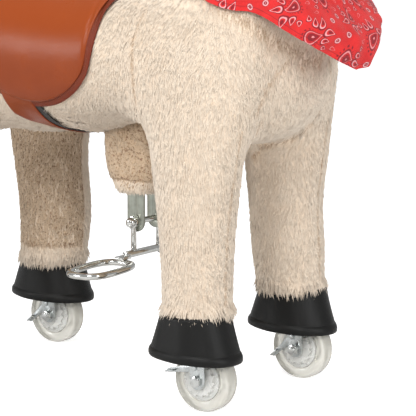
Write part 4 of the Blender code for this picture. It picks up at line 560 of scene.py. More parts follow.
# Down the wall, round the rim and up the inside: height, flare, stand off the wall, and waviness.
CUFF_ROWS = (
    (0.990, 0.00, -0.040, 0.0), (0.998, 0.00, -0.012, 0.0), (0.999, 0.00, -0.003, 0.0),
    (0.980, 0.012, 0.0, 0.0), (0.92, 0.06, 0.0, 0.2), (0.80, 0.17, 0.0, 0.5), (0.68, 0.285, 0.0, 0.8),
    (0.55, 0.415, 0.0, 1.0), (0.42, 0.55, 0.0, 1.0), (0.30, 0.68, 0.0, 1.0), (0.222, 0.775, 0.0, 1.0),
    (0.206, 0.794, -CUFF_BAND * 0.8, 1.0), (0.190, 0.811, CUFF_BAND, 1.0),
    (0.14, 0.92, CUFF_BAND * 1.2, 1.0), (0.09, 0.96, CUFF_BAND * 1.2, 1.0),
    (0.035, 0.965, CUFF_BAND, 1.0), (0.004, 0.96, CUFF_BAND * 0.2, 1.0),
    (0.000, 0.96, -CUFF_WALL * 0.5, 1.0), (0.006, 0.96, -CUFF_WALL, 1.0), (0.20, 0.80, -CUFF_WALL, 0.8),
    (0.56, 0.40, -CUFF_WALL, 0.5), (0.90, 0.07, -CUFF_WALL, 0.0), (0.935, 0.02, -CUFF_WALL * 3, 0.0),
    (0.935, 0.00, -0.040, 0.0),
)
TRACK, CUFF_WAVE = 0.277, 0.0007


def leatherette(name, colour, pale, roughness, grain=900, depth=0.00025, rubbed=0.55, foot=None):
    """Coated cloth with a fine pebbled grain, paler where it is rubbed; low down it may darken, painted
    shade.
    """
    made = Finish(name, colour, roughness, Specular_IOR_Level=0.24)
    grain_of = {"Vector": made.place(), "Scale": grain}
    cells = made.node("TexVoronoi", {"feature": "DISTANCE_TO_EDGE"}, grain_of)
    worn = made.noise(14, 4, rough=0.6).step(0.42, 0.78)
    fine = made.noise(grain * 2.2, 2)
    if foot:
        # Darker towards the bottom: painted shade.
        colour = made.mix(made.along(2).step(0.50, 0.60), foot, colour)
    made.feed(Base_Color=made.mix(worn * rubbed, colour, pale))
    made.feed(Roughness=roughness + worn * -0.08 + fine * 0.10)
    hills = cells.step(0.0, 0.35) * 0.8 + made.noise(60, 3, rough=0.6) * 0.8
    made.feed(Normal=made.bump(hills, depth, 0.6))
    return made


hoof_black = leatherette("hoof_black_finish", srgb(16, 16, 15), srgb(28, 27, 26), 0.34, 1400, 0.00012)

for where, (axle, side) in CORNERS.items():
    leg_x = LEG_X[axle]
    shape = bmesh.new()
    rings = []
    for up, flare, proud, wave in CUFF_ROWS:
        centre = Vector((leg_x, side * TRACK / 2, CUFF_BOTTOM + up * (CUFF_TOP - CUFF_BOTTOM)))
        half_x = CUFF_ROUND + flare * (CUFF_LONG - CUFF_ROUND) + proud
        half_y = CUFF_ROUND + flare * (CUFF_WIDE - CUFF_ROUND) + proud
        ring = add_ring(shape, 64, centre, FORWARD, LEFT, half_x, half_y, half_y)
        for point in ring:
            out = (point.co - centre).normalized() if flare or proud > -0.01 else Vector()
            turn = math.atan2(point.co.y - centre.y, point.co.x - centre.x)
            soft = math.sin(3 * turn + leg_x * 40) + 0.7 * math.sin(7 * turn + side)
            point.co += out * soft * CUFF_WAVE * wave
            point.co.z -= TOE_DROP * flare * (point.co.x - leg_x) / CUFF_LONG
        rings.append(ring)
    bridge_rings(shape, rings + rings[:1], caps=False)
    cuff = settle(f"cuff_{where}", shape, hoof_black, "hoof_rubber", f"{axle}_legs", levels=1)
    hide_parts(f"hoof_cuff_{where}")


# Wheels: a clear soft tyre cast on a moulded white core, whose ribs and ratchet teeth show through
# it. Each turns on a steel bolt between the two cheeks of its fork.

WHEEL_X, WHEEL_HEIGHT = {"front": 0.2495, "rear": -0.2495}, 0.050
# One side of the tyre, from the core out to the tread: radius, and distance from its middle plane.
TYRE_PROFILE = (
    (0.0329, 0.0118), (0.0350, 0.0128), (0.0400, 0.0136), (0.0440, 0.0137), (0.0472, 0.0126),
    (0.0490, 0.0104), (0.0498, 0.0070), (0.0500, 0.0030),
)

clear_tyre = Finish("clear_tyre_finish", srgb(232, 230, 222), 0.16, Transmission_Weight=0.62, IOR=1.42)
cloud = clear_tyre.noise(40, 3)
clear_tyre.feed(Base_Color=clear_tyre.mix(cloud, srgb(226, 223, 212), srgb(240, 239, 234)))
clear_tyre.feed(Roughness=0.12 + cloud * 0.16)
milky = Finish("wheel_core_finish", srgb(236, 236, 232), 0.25, Transmission_Weight=0.25, IOR=1.45)
cloud = milky.noise(60, 2)
milky.feed(Base_Color=milky.mix(cloud, srgb(228, 228, 222), srgb(246, 246, 243)))
milky.feed(Roughness=0.20 + cloud * 0.14, Normal=milky.bump(milky.noise(300, 2), 0.0003, 0.3))


def spun(name, profile, place, finish, slot, body, steps=72, closed=True, **edges):
    """A turned piece: its outline, radius and distance along the axle, spun about a line along Y."""
    shape = bmesh.new()
    points = [shape.verts.new((place[0] + r, place[1] + y, place[2])) for r, y in profile]
    pairs = list(zip(points, points[1:] + points[:1]))
    lines = [shape.edges.new(pair) for pair in (pairs if closed else pairs[:-1])]
    full_turn = {"cent": place, "axis": LEFT, "angle": 2 * math.pi, "steps": steps, "use_merge": True}
    bmesh.ops.spin(shape, geom=points + lines, **full_turn)
    bmesh.ops.remove_doubles(shape, verts=shape.verts, dist=0.000001)
    return settle(name, shape, finish, slot, body, **edges)


for where, (axle, side) in CORNERS.items():
    outline = [*TYRE_PROFILE, *[(r, -y) for r, y in reversed(TYRE_PROFILE)]]
    place = (WHEEL_X[axle], side * TRACK / 2, WHEEL_HEIGHT)
    tyre = spun(f"cast_tyre_{where}", outline, place, clear_tyre, "clear_tyre", f"{where}_wheel")
    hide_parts(f"tyre_{where}")
    coat(f"wheel_core_{where}", milky)


# Forks, bolts and pawls: zinc-plated pressings, bright on the bent edges, with hexagon bolts and a
# riveted pawl whose thumb piece stands out behind the wheel. All edges are broken.

bright_zinc = plated("bright_zinc_finish", srgb(214, 219, 219), 0.28, (300, 300, 300))
bolt_steel = plated("bolt_finish", srgb(222, 224, 222), 0.22, (900, 100, 900))


def cad_copy(node):
    """A CAD solid with its loose triangles merged and its flat faces whole again."""
    shape = bmesh.new()
    shape.from_mesh(bpy.data.objects[node].data)
    bmesh.ops.remove_doubles(shape, verts=shape.verts, dist=0.00002)
    bmesh.ops.dissolve_limit(shape, angle_limit=math.radians(1), verts=shape.verts, edges=shape.edges)
    return shape


def worked(node, finish, slot, body, bevel=0.0004):
    """A CAD solid finished as metal work: edges broken, round parts smooth."""
    piece = settle(f"{node}_finished", cad_copy(node), finish, slot, body, bevel=bevel, sharp=38)
    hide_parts(node)


for where, (axle, _) in CORNERS.items():
    fork_body = f"{where}_fork" if axle == "front" else "rear_legs"
    worked(f"fork_{where}", bright_zinc, "zinc", fork_body)
    worked(f"axle_bolt_{where}", bolt_steel, "zinc", fork_body)
    worked(f"pawl_{where}", bright_zinc, "zinc", f"{where}_pawl", bevel=0.0003)


# Pedal post and stirrup: two flat zinc bars hang from the frame in a plush sleeve. A chromed bar
# with welded hangers swings on a bolt between them and carries an oval foot loop on each end.

LOOP_ROD, LOOP_HALF_X, LOOP_HALF_Y, LOOP_POWER = 0.0054, 0.039, 0.062, 3.0
LOOP_X, LOOP_Y, LOOP_Z, LOOP_TILT = 0.040, 0.121, 0.1960, 0.0045

drawn_zinc = plated("drawn_zinc_finish", srgb(168, 171, 160), 0.34, (700, 700, 22))
chrome = Finish("chrome_finish", srgb(205, 206, 200), 0.10, Metallic=1.0)
haze = chrome.noise(120, 3, rough=0.6)
chrome.feed(Roughness=0.06 + haze * 0.10, Normal=chrome.bump(chrome.noise(45, 2), 0.0004, 0.12))
chrome.feed(Base_Color=chrome.mix(haze, srgb(196, 196, 190), srgb(228, 228, 226)))

for side_name in SIDES:
    worked(f"pedal_bar_{side_name}", drawn_zinc, "zinc", "chassis")
worked("stirrup_pivot_bolt", chrome, "zinc", "chassis")
worked("stirrup_crossbar", chrome, "chrome", "stirrup", bevel=0.0003)


def hoop(name, points, radius, sides, finish, slot, body):
    """A rod bent into a closed loop: a ring square to its run at each point, all skinned."""
    shape = bmesh.new()
    rings = []
    for before, point, after in zip(points[-1:] + points, points, points[1:] + points[:1]):
        run = (after - before).normalized()
        across = run.cross(UP if abs(run.z) < 0.9 else FORWARD).normalized()
        rings.append(add_ring(shape, sides, point, across, across.cross(run), radius, radius, radius))
    bridge_rings(shape, rings + rings[:1], caps=False)
    return settle(name, shape, finish, slot, body)


for side_name, side in SIDES.items():
    route = []
    for step in range(72):
        turn = 2 * math.pi * step / 72
        swing = squared(math.cos(turn), LOOP_POWER) * (LOOP_HALF_X - LOOP_ROD)
        reach = squared(math.sin(turn), LOOP_POWER) * (LOOP_HALF_Y - LOOP_ROD)
        outer = side * reach / LOOP_HALF_Y
        route.append(Vector((LOOP_X + swing, side * LOOP_Y + reach, LOOP_Z - LOOP_TILT * (1 + outer) / 2)))
    where = f"foot_loop_{side_name}"
    loop = hoop(f"{where}_rod", route, LOOP_ROD, 20, chrome, "chrome", "stirrup")
    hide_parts(where)


# Sleeve: a tube of the body's plush, sewn under the belly round the two bars, with a rounded foot.
# A seam sets the smooth foot off from the curly tube above it.

SLEEVE_X, SLEEVE_LONG, SLEEVE_WIDE, SLEEVE_SQUARE = 0.040, 0.060, 0.055, 3.6
# Up the sleeve: height, then half length and half width as shares.
SLEEVE_ROWS = (
    (0.3050, 0.26, 0.40), (0.3055, 0.54, 0.78), (0.3085, 0.66, 0.88), (0.317, 0.74, 0.93),
    (0.3270, 0.83, 0.97), (0.3285, 0.87, 1.00), (0.345, 0.96, 1.02), (0.375, 1.03, 1.02),
    (0.430, 1.05, 1.00),
)

sleeve_shape = bmesh.new()
sleeve_rings = []
for height, long, wide in smooth_rows(SLEEVE_ROWS, 2):
    half_x = max(SLEEVE_LONG * long - PILE_DEPTH, 0.002)
    half_y = max(SLEEVE_WIDE * wide - PILE_DEPTH, 0.002)
    sizes = (half_x, half_y, half_y, SLEEVE_SQUARE)
    sleeve_rings.append(add_ring(sleeve_shape, 40, Vector((SLEEVE_X, 0, height)), FORWARD, LEFT, *sizes))
bridge_rings(sleeve_shape, sleeve_rings)
# The tube takes the darker curly plush: painted shade under the belly.
sleeve_skin = settle("sleeve_skin", sleeve_shape, shaded_curly_pile, "cream_plush", "chassis", levels=1)
steady_depth(sleeve_skin)
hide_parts("pedal_post_sleeve")


# Saddle: a skirt of brown leatherette laid over the barrel, its edge bound in a darker strip and
# stitched, with a girth below it and a stuffed seat with pommel, horn and raised back on top.

SADDLE_MIDDLE, SADDLE_FRONT, SADDLE_BACK = -0.034, 0.150, -0.218
SKIRT_LOW, SKIRT_HIGH, SKIRT_THICK, PANEL_THICK, BORDER = 0.450, 0.760, 0.0030, 0.0030, 0.0085
LEATHER_COLUMNS, LEATHER_ROWS, PUFF_REACH = 81, 37, 0.016
STITCH_OUT, STITCH_CENTRE, STITCH_PITCH, STITCH_LONG, STITCH_THICK = 0.0030, 0.62, 0.0042, 0.0030, 0.0007
# The skirt's lower edge, from its front to its back: shares of the reach along and of the height.
SKIRT_EDGE = (
    (1.00, 0.80), (0.98, 0.78), (0.86, 0.66), (0.72, 0.545), (0.645, 0.44), (0.60, 0.225),
    (0.475, 0.122), (0.26, 0.039), (0.05, 0.00), (-0.17, 0.00), (-0.40, 0.045), (-0.66, 0.17),
    (-0.82, 0.34), (-0.95, 0.58), (-1.00, 0.72),
)
# The brown leatherette darkens low on the barrel and on the girth tab: painted shade.
brown_leather = leatherette(
    "brown_leather_finish", srgb(156, 70, 27), srgb(164, 78, 34), 0.27, 700, 0.0001, 0.3, srgb(136, 58, 20)
)
edge_leather = leatherette("edge_leather_finish", srgb(116, 46, 24), srgb(132, 60, 36), 0.36, 900)
thread = Finish("thread_finish", srgb(128, 70, 42), 0.7)
thread.feed(Base_Color=thread.mix(thread.waves("X", 900.0), srgb(104, 54, 32), srgb(150, 88, 56)))
skirt_rows = smooth_rows(SKIRT_EDGE, 6)


def skirt_edge_height(x, inset=0.0):
    """How low the skirt comes at a place along the back, or a line so far inside its edge."""
    if inset:
        steps = [inset * (k / 6 - 1) for k in range(13)]
        return max(skirt_edge_height(x + d) + math.sqrt(max(inset**2 - d**2, 0)) for d in steps)
    reach = SADDLE_FRONT - SADDLE_MIDDLE if x > SADDLE_MIDDLE else SADDLE_MIDDLE - SADDLE_BACK
    along = (x - SADDLE_MIDDLE) / reach
    for (a, high), (b, low) in zip(skirt_rows, skirt_rows[1:]):
        if a >= along >= b and a > b:
            return SKIRT_LOW + (high + (low - high) * (a - along) / (a - b)) * (SKIRT_HIGH - SKIRT_LOW)
    return SKIRT_LOW + skirt_rows[0 if along > 0 else -1][1] * (SKIRT_HIGH - SKIRT_LOW)


def standing_on(surface, middle, out, far, stand):
    """A place so far above a skin, where a line out from its middle leaves it."""
    hit, facing = surface.ray_cast(middle + out * far, -out)[:2]
    return hit + (facing if facing.dot(out) > 0 else -facing) * stand


def on_barrel(x, turn, stand):
    """A place on the barrel, at an angle up from sideways."""
    out = Vector((0, math.cos(turn), math.sin(turn)))
    return standing_on(body_surface, Vector((x, 0, BODY_MIDDLE + 0.01)), out, 0.6, stand)


def over_barrel(x, lowest, side, count, stand):
    """Points down one side of the barrel from its top to a height, each stand off the skin."""
    points = []
    lowest = min(lowest, on_barrel(x, math.radians(90), stand).z - 0.012)
    for step in range(121):
        turn = math.radians(90 - side * 150 * step / 120)
        point = on_barrel(x, turn, stand)
        if point.z < lowest:
            share = (points[-1].z - lowest) / max(points[-1].z - point.z, 1e-6)
            points.append(points[-1].lerp(point, share))
            break
        points.append(point)
    walked = [0.0]
    for a, b in zip(points, points[1:]):
        walked.append(walked[-1] + (b - a).length)
    even = []
    for step in range(count):
        target = walked[-1] * step / (count - 1)
        k = min(max(i for i, w in enumerate(walked) if w <= target + 1e-9), len(points) - 2)
        share = (target - walked[k]) / max(walked[k + 1] - walked[k], 1e-9)
        even.append(points[k].lerp(points[k + 1], share))
    return even


def thicken(shape, thick):
    """Gives an open sheet its upper face, further off the skin below, closed along the edges."""
    everything = shape.verts[:] + shape.edges[:] + shape.faces[:]
    raised = bmesh.ops.extrude_face_region(shape, geom=everything, use_keep_orig=True)["geom"]
    for point in raised:
        if isinstance(point, bmesh.types.BMVert):
            skin = body_surface.find_nearest(point.co)[0]
            point.co += (point.co - skin).normalized() * thick


def laid_leather(name, inset, stand, thick, puff, finish):
    """A sheet over the barrel, cut so far inside the skirt's edge, and its edge as a closed route."""
    columns, rows = LEATHER_COLUMNS, LEATHER_ROWS
    placed = []
    # The columns stand closer together near the front and the back, where the edge turns up.
    for i in range(columns):
        share = 0.5 - 0.5 * math.cos(math.pi * i / (columns - 1))
        share = 0.85 * share + 0.15 * i / (columns - 1)
        front, back = SADDLE_FRONT - inset - 0.0005, SADDLE_BACK + inset + 0.0005
        x = back + (front - back) * share
        low = skirt_edge_height(x, inset)
        right = over_barrel(x, low, -1, rows, stand)
        left = over_barrel(x, low, 1, rows, stand)
        placed.append(list(reversed(right)) + left[1:])
    route = [column[0] for column in placed] + placed[-1][1:-1]
    route += [column[-1] for column in reversed(placed)] + list(reversed(placed[0][1:-1]))
    rim = np.array([tuple(point) for point in route])
    shape = bmesh.new()
    grid = bmesh.ops.create_grid(shape, x_segments=columns - 1, y_segments=2 * rows - 2, size=1)
    for point in grid["verts"]:
        i = round((point.co.x + 1) / 2 * (columns - 1))
        j = round((point.co.y + 1) / 2 * (2 * rows - 2))
        place = placed[i][j]
        skin = body_surface.find_nearest(place)[0]
        away = float(np.sqrt(((rim - np.array(tuple(place))) ** 2).sum(axis=1).min()))
        away = min(away / PUFF_REACH, 1.0)
        point.co = place + (place - skin).normalized() * puff * (1 - (1 - away) ** 2)
    thicken(shape, thick)
    piece = settle(name, shape, finish, "brown_leather", "chassis", levels=1)
    return piece, route


def walk_loop(route, spacing):
    """Points at an even spacing round a closed route, with the way it runs at each."""
    route = route + route[:1]
    result, left = [], 0.0
    for a, b in zip(route, route[1:]):
        gap = (b - a).length
        while left < gap:
            result.append((a.lerp(b, left / gap), (b - a).normalized()))
            left += spacing
        left -= gap
    return result


def stitches(name, route, under, body):
    """A row of thread stitches laid along a closed route on a skin, each a small tapered bar."""
    shape = bmesh.new()
    for place, run in walk_loop(route, STITCH_PITCH):
        hit, facing = under.find_nearest(place)[:2]
        facing = facing if facing.dot(place - Vector((place.x, 0, BODY_MIDDLE))) > 0 else -facing
        side = facing.cross(run).normalized()
        for corner in bmesh.ops.create_cube(shape, size=1)["verts"]:
            along, across, up = corner.co
            taper = 0.62 if up > 0 else 1.0
            corner.co = hit + run * along * STITCH_LONG * taper + side * across * STITCH_THICK * taper
            corner.co += facing * (up + 0.35) * STITCH_THICK
    return settle(name, shape, thread, "dark_leather", body)


skirt_stand = PILE_DEPTH + 0.0012
skirt = laid_leather("skirt_leather", 0.0, skirt_stand, SKIRT_THICK, 0.0, edge_leather)[0]
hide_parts("saddle_skirt")
panel_stand = skirt_stand + SKIRT_THICK - 0.0006
skirt_panel, panel_route = laid_leather(
    "skirt_panel", BORDER, panel_stand, PANEL_THICK, 0.0016, brown_leather
)
stitch_line = []
for place, _ in walk_loop(panel_route, 0.003):
    way = place - Vector((SADDLE_MIDDLE, place.y, STITCH_CENTRE))
    stitch_line.append(place + way.normalized() * STITCH_OUT)
stitches("skirt_stitches", stitch_line, surface_of(skirt), "chassis")


# Girth: black webbing round the belly, with a tapered tab of the saddle's leatherette sewn over it
# on each side, both tucked up under the skirt.

TAB_FRONT, TAB_NARROW, TAB_BROAD, TAB_LOW, TAB_HIGH = -0.0515, -0.072, -0.1075, 0.408, 0.434
WEBBING_FRONT, WEBBING_BACK, GIRTH_MIDDLE = -0.0415, -0.0660, -0.06
GIRTH_TURN, GIRTH_SHARE = math.radians(82.5), 0.93

webbing = Finish("webbing_finish", srgb(30, 27, 26), 0.82, Sheen_Weight=0.15)
ribs, cross = webbing.waves("Y", 260.0, warp=1.2), webbing.waves("X", 190.0, warp=1.2)
webbing.feed(Base_Color=webbing.mix(ribs * cross, srgb(22, 20, 20), srgb(64, 58, 54)))
webbing.feed(Normal=webbing.bump(ribs + cross, 0.0006, 0.7))


def belly_band(name, edges, stand, thick, finish, slot):
    """A band of cloth laid round the belly from skirt to skirt, its two edges told by the height."""
    shape = bmesh.new()
    grid = bmesh.ops.create_grid(shape, x_segments=8, y_segments=90, size=1)
    for point in grid["verts"]:
        across = (point.co.x + 1) / 2
        turn = math.radians(-90) + GIRTH_TURN * point.co.y * GIRTH_SHARE
        front, back = edges(on_barrel(GIRTH_MIDDLE, turn, stand).z)
        point.co = on_barrel(back + (front - back) * across, turn, stand)
    thicken(shape, thick)
    return settle(name, shape, finish, slot, "chassis", levels=1)


def tab_edges(height):
    """The tab is broad at the skirt and tapers on its way down."""
    share = portion(height - TAB_LOW, TAB_HIGH - TAB_LOW)
    return TAB_FRONT, TAB_NARROW + (TAB_BROAD - TAB_NARROW) * share**0.8


def webbing_edges(height):
    return WEBBING_FRONT, WEBBING_BACK


girth_web = belly_band("girth_webbing", webbing_edges, PILE_DEPTH + 0.0008, 0.0016, webbing, "dark_leather")
girth_tab = belly_band("girth_tab", tab_edges, PILE_DEPTH + 0.0026, 0.0022, brown_leather, "brown_leather")
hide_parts("girth")


# Seat: a stuffed leatherette seat sewn to the skirt, low in the middle, rising to a rounded back and
# to a pommel that carries a turned horn. Two quilted channels run along it.

SEAT_BASE, SEAT_CROWN, SEAT_WIDE, SEAT_UNDER, SEAT_CLEAR = 0.640, 0.105, 0.125, 0.03, 0.0006
CHANNEL_Y, CHANNEL_HALF, CHANNEL_DEEP = 0.040, 0.0045, 0.0035
CHANNEL_X, CHANNEL_LONG, CHANNEL_FADE, CHANNEL_LOW = 0.045, 0.12, 0.05, 0.03
# From back to front: share of the reach along, height of the crown, half width.
SEAT_ROWS = (
    (-1.04, 0.30, 0.30), (-1.00, 0.62, 0.66), (-0.90, 0.96, 0.92), (-0.72, 0.92, 1.00),
    (-0.40, 0.68, 1.00), (0.00, 0.58, 0.96), (0.40, 0.62, 0.88), (0.70, 0.76, 0.72), (0.86, 0.84, 0.56),
    (0.96, 0.66, 0.36), (1.00, 0.36, 0.18),
)
# The horn's outline, from its top down into the pommel: shares of its radius and height.
HORN_PROFILE = (
    (0.0, 1.0), (0.5, 0.995), (0.85, 0.965), (1.0, 0.90), (0.98, 0.82), (0.86, 0.74), (0.62, 0.66),
    (0.53, 0.55), (0.52, 0.40), (0.58, 0.15), (0.72, -0.10), (0.95, -0.30),
)
HORN_RADIUS, HORN_HEIGHT, HORN_FORWARD, HORN_UP = 0.021, 0.050, 0.84, 0.70

seat_rows = []
for along, crown, across in SEAT_ROWS:
    reach = SADDLE_FRONT - SADDLE_MIDDLE if along > 0 else SADDLE_MIDDLE - SADDLE_BACK
    halves = (crown * SEAT_CROWN, SEAT_UNDER, across * SEAT_WIDE)
    seat_rows.append((SADDLE_MIDDLE + along * reach, SEAT_BASE, 0, *halves))
seat_shape = bmesh.new()
along_rows(seat_shape, smooth_rows(seat_rows, 4), 56, 2.3, 0.001)
panel_surface = surface_of(skirt_panel)
for point in seat_shape.verts:
    channel = math.exp(-((abs(point.co.y) - CHANNEL_Y) / CHANNEL_HALF) ** 2)
    if point.co.z > SEAT_BASE + CHANNEL_LOW:
        inside = portion(CHANNEL_LONG - abs(point.co.x + CHANNEL_X), CHANNEL_FADE)
        point.co.z -= CHANNEL_DEEP * channel * inside
    hit, facing = panel_surface.find_nearest(point.co)[:2]
    facing = facing if facing.z > 0 else -facing
    if (point.co - hit).dot(facing) < SEAT_CLEAR:
        point.co = hit + facing * SEAT_CLEAR
seat_leather = settle("seat_leather", seat_shape, brown_leather, "brown_leather", "chassis", levels=1)

horn_x = SADDLE_MIDDLE + HORN_FORWARD * (SADDLE_FRONT - SADDLE_MIDDLE)
horn_at = Vector((horn_x, 0, SEAT_BASE + HORN_UP * SEAT_CROWN))
horn_shape = bmesh.new()
horn_points = []
for r, h in HORN_PROFILE:
    horn_points.append(horn_shape.verts.new(horn_at + Vector((r * HORN_RADIUS, 0, h * HORN_HEIGHT))))
horn_lines = [horn_shape.edges.new(pair) for pair in zip(horn_points, horn_points[1:])]
round_up = {"cent": horn_at, "axis": UP, "angle": 2 * math.pi, "steps": 40, "use_merge": True}
bmesh.ops.spin(horn_shape, geom=horn_points + horn_lines, **round_up)
bmesh.ops.remove_doubles(horn_shape, verts=horn_shape.verts, dist=0.00001)
bmesh.ops.holes_fill(horn_shape, edges=[edge for edge in horn_shape.edges if edge.is_boundary])
settle("saddle_horn", horn_shape, edge_leather, "dark_leather", "chassis", levels=1)
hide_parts("saddle_seat")


# Neck: the same stuffed plush over the steering stem. It turns with the head, and its foot sits on
# the shoulders under the bandana.

NECK_ROOT = Vector((0.75 * BODY_HALF_LENGTH, 0, BODY_MIDDLE + 0.86 * BODY_HALF_HEIGHT))
NECK_TILT, NECK_LENGTH, NECK_WIDE = 68.0, 0.215, 0.124
NECK_AXIS = Vector((math.cos(math.radians(NECK_TILT)), 0, math.sin(math.radians(NECK_TILT))))
# Up the neck, as shares: place, half thickness behind, in front and to the side.
NECK_ROWS = (
    (0.00, 1.00, 1.00, 1.00), (0.14, 0.94, 0.94, 0.94), (0.28, 0.88, 0.88, 0.88),
    (0.50, 0.76, 0.73, 0.76), (0.72, 0.67, 0.63, 0.65), (0.88, 0.61, 0.57, 0.57),
    (0.97, 0.46, 0.44, 0.44), (1.00, 0.30, 0.28, 0.28),
)
neck_rows = []
for up, back, front, reach in NECK_ROWS:
    spot = NECK_ROOT + NECK_AXIS * up * NECK_LENGTH
    neck_rows.append((spot.x, spot.z, NECK_TILT, back * NECK_WIDE, front * NECK_WIDE, reach * NECK_WIDE))
neck_shape = bmesh.new()
along_rows(neck_shape, smooth_rows(neck_rows, 2), 40, 2.0, PILE_DEPTH)
neck_skin = settle("neck_skin", neck_shape, cream_plush, "cream_plush", "head", levels=1)
steady_depth(neck_skin)
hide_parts("neck_plush")


# Head: a stuffed head of shorter pile with a sewn muzzle, two leaf-shaped ears lined in smooth
# felt, and glass eyes under a fold of plush.

HEAD_DROOP = math.radians(33.0)
HEAD_START = NECK_ROOT + Vector((0.0025, 0, 0.2173))
HEAD_AXIS = Vector((math.cos(HEAD_DROOP), 0, -math.sin(HEAD_DROOP)))
HEAD_RISE = Vector((math.sin(HEAD_DROOP), 0, math.cos(HEAD_DROOP)))
HEAD_LENGTH, HEAD_HIGH, HEAD_WIDE = 0.235, 0.084, 0.080
# From the poll to the lips, as shares: place, half height above and below, half width.
HEAD_ROWS = (
    (0.00, 0.34, 0.34, 0.36), (0.04, 0.74, 0.72, 0.72), (0.16, 0.98, 0.98, 0.96),
    (0.36, 0.94, 1.08, 1.00), (0.56, 0.76, 0.88, 0.82), (0.74, 0.62, 0.68, 0.66),
    (0.88, 0.60, 0.60, 0.66), (0.97, 0.46, 0.46, 0.54), (1.00, 0.24, 0.24, 0.30),
)
EAR_ROWS = ((-0.30, 0.80), (0.00, 0.95), (0.30, 1.00), (0.60, 0.78), (0.85, 0.42), (0.97, 0.16))
EAR_LONG, EAR_WIDE, EAR_THIN, LINING_THIN, EAR_HOLLOW, LINING_IN = 0.085, 0.021, 0.42, 0.30, 0.15, -0.0035
EYE_RADIUS, LID_OVER, LID_CUT, LID_THICK = 0.012, 0.0022, 0.0035, 0.0016
EAR_SPLAY, EAR_BACK, EAR_TURN = 0.28, 0.10, 0.45
NOSTRIL_DEEP, NOSTRIL_HALF, LIPS_DEEP, LIPS_HALF, THROAT_HOLLOW = 0.007, 0.0075, 0.0035, 0.0045, 0.040
LIPS_LONG, LIPS_PINCH, LIPS_CORNER = 0.045, 0.0025, 0.01
# Spots of the head: shares of its length, half width and half height.
EAR_SPOT, EYE_SPOT = (0.28, 0.55, 0.85), (0.44, 0.85, 0.30)
NOSTRIL_SPOT, LIPS_SPOT = (0.955, 0.36, 0.26), (0.93, 0, -0.20)


def at_head(along, across=0.0, up=0.0):
    """A place on the head: share of its length, then half widths and half heights off its axis."""
    place = HEAD_START + HEAD_AXIS * along * HEAD_LENGTH
    return place + LEFT * across * HEAD_WIDE + HEAD_RISE * up * HEAD_HIGH


def beside_head(spot, side):
    """A spot of the head, taken on its left or on its right."""
    along, across, up = spot
    return at_head(along, side * across, up)


head_rows = []
for along, rise, drop, reach in HEAD_ROWS:
    spot = at_head(along)
    halves = (rise * HEAD_HIGH, drop * HEAD_HIGH, reach * HEAD_WIDE)
    head_rows.append((spot.x, spot.z, -math.degrees(HEAD_DROOP), *halves))
head_shape = bmesh.new()
along_rows(head_shape, smooth_rows(head_rows, 3), 40, 2.1, PILE_DEPTH)
for point in head_shape.verts:
    for side in SIDES.values():
        nostril = (point.co - beside_head(NOSTRIL_SPOT, side)).length
        point.co -= HEAD_AXIS * NOSTRIL_DEEP * math.exp(-((nostril / NOSTRIL_HALF) ** 2))
    lips = point.co - at_head(*LIPS_SPOT)
    sunk = math.exp(-((lips.dot(HEAD_RISE) / LIPS_HALF) ** 2)) * (lips.dot(HEAD_AXIS) > -LIPS_LONG)
    point.co -= LEFT * math.copysign(LIPS_PINCH, point.co.y) * sunk * (abs(point.co.y) > LIPS_CORNER)
    point.co -= HEAD_AXIS * LIPS_DEEP * sunk
head_skin = settle("head_skin", head_shape, cream_plush, "cream_plush", "head", levels=1)
steady_depth(head_skin)
neck_bare, head_bare = surface_of(neck_skin), surface_of(head_skin)
ease_together(neck_skin, neck_bare, [head_bare], THROAT_HOLLOW)
ease_together(head_skin, head_bare, [neck_bare], THROAT_HOLLOW)
head_surface = surface_of(head_skin, neck_skin)

felt = Finish("ear_felt_finish", srgb(214, 178, 152), 0.92, Sheen_Weight=0.3)
fuzz = felt.noise(420, 4, rough=0.75)
felt.feed(Base_Color=felt.mix(fuzz, srgb(190, 148, 122), srgb(226, 194, 168)))
felt.feed(Normal=felt.bump(fuzz, 0.0006, 0.6))
glass = Finish("eye_finish", srgb(20, 12, 8), 0.05, Coat_Weight=1.0, Coat_Roughness=0.03)

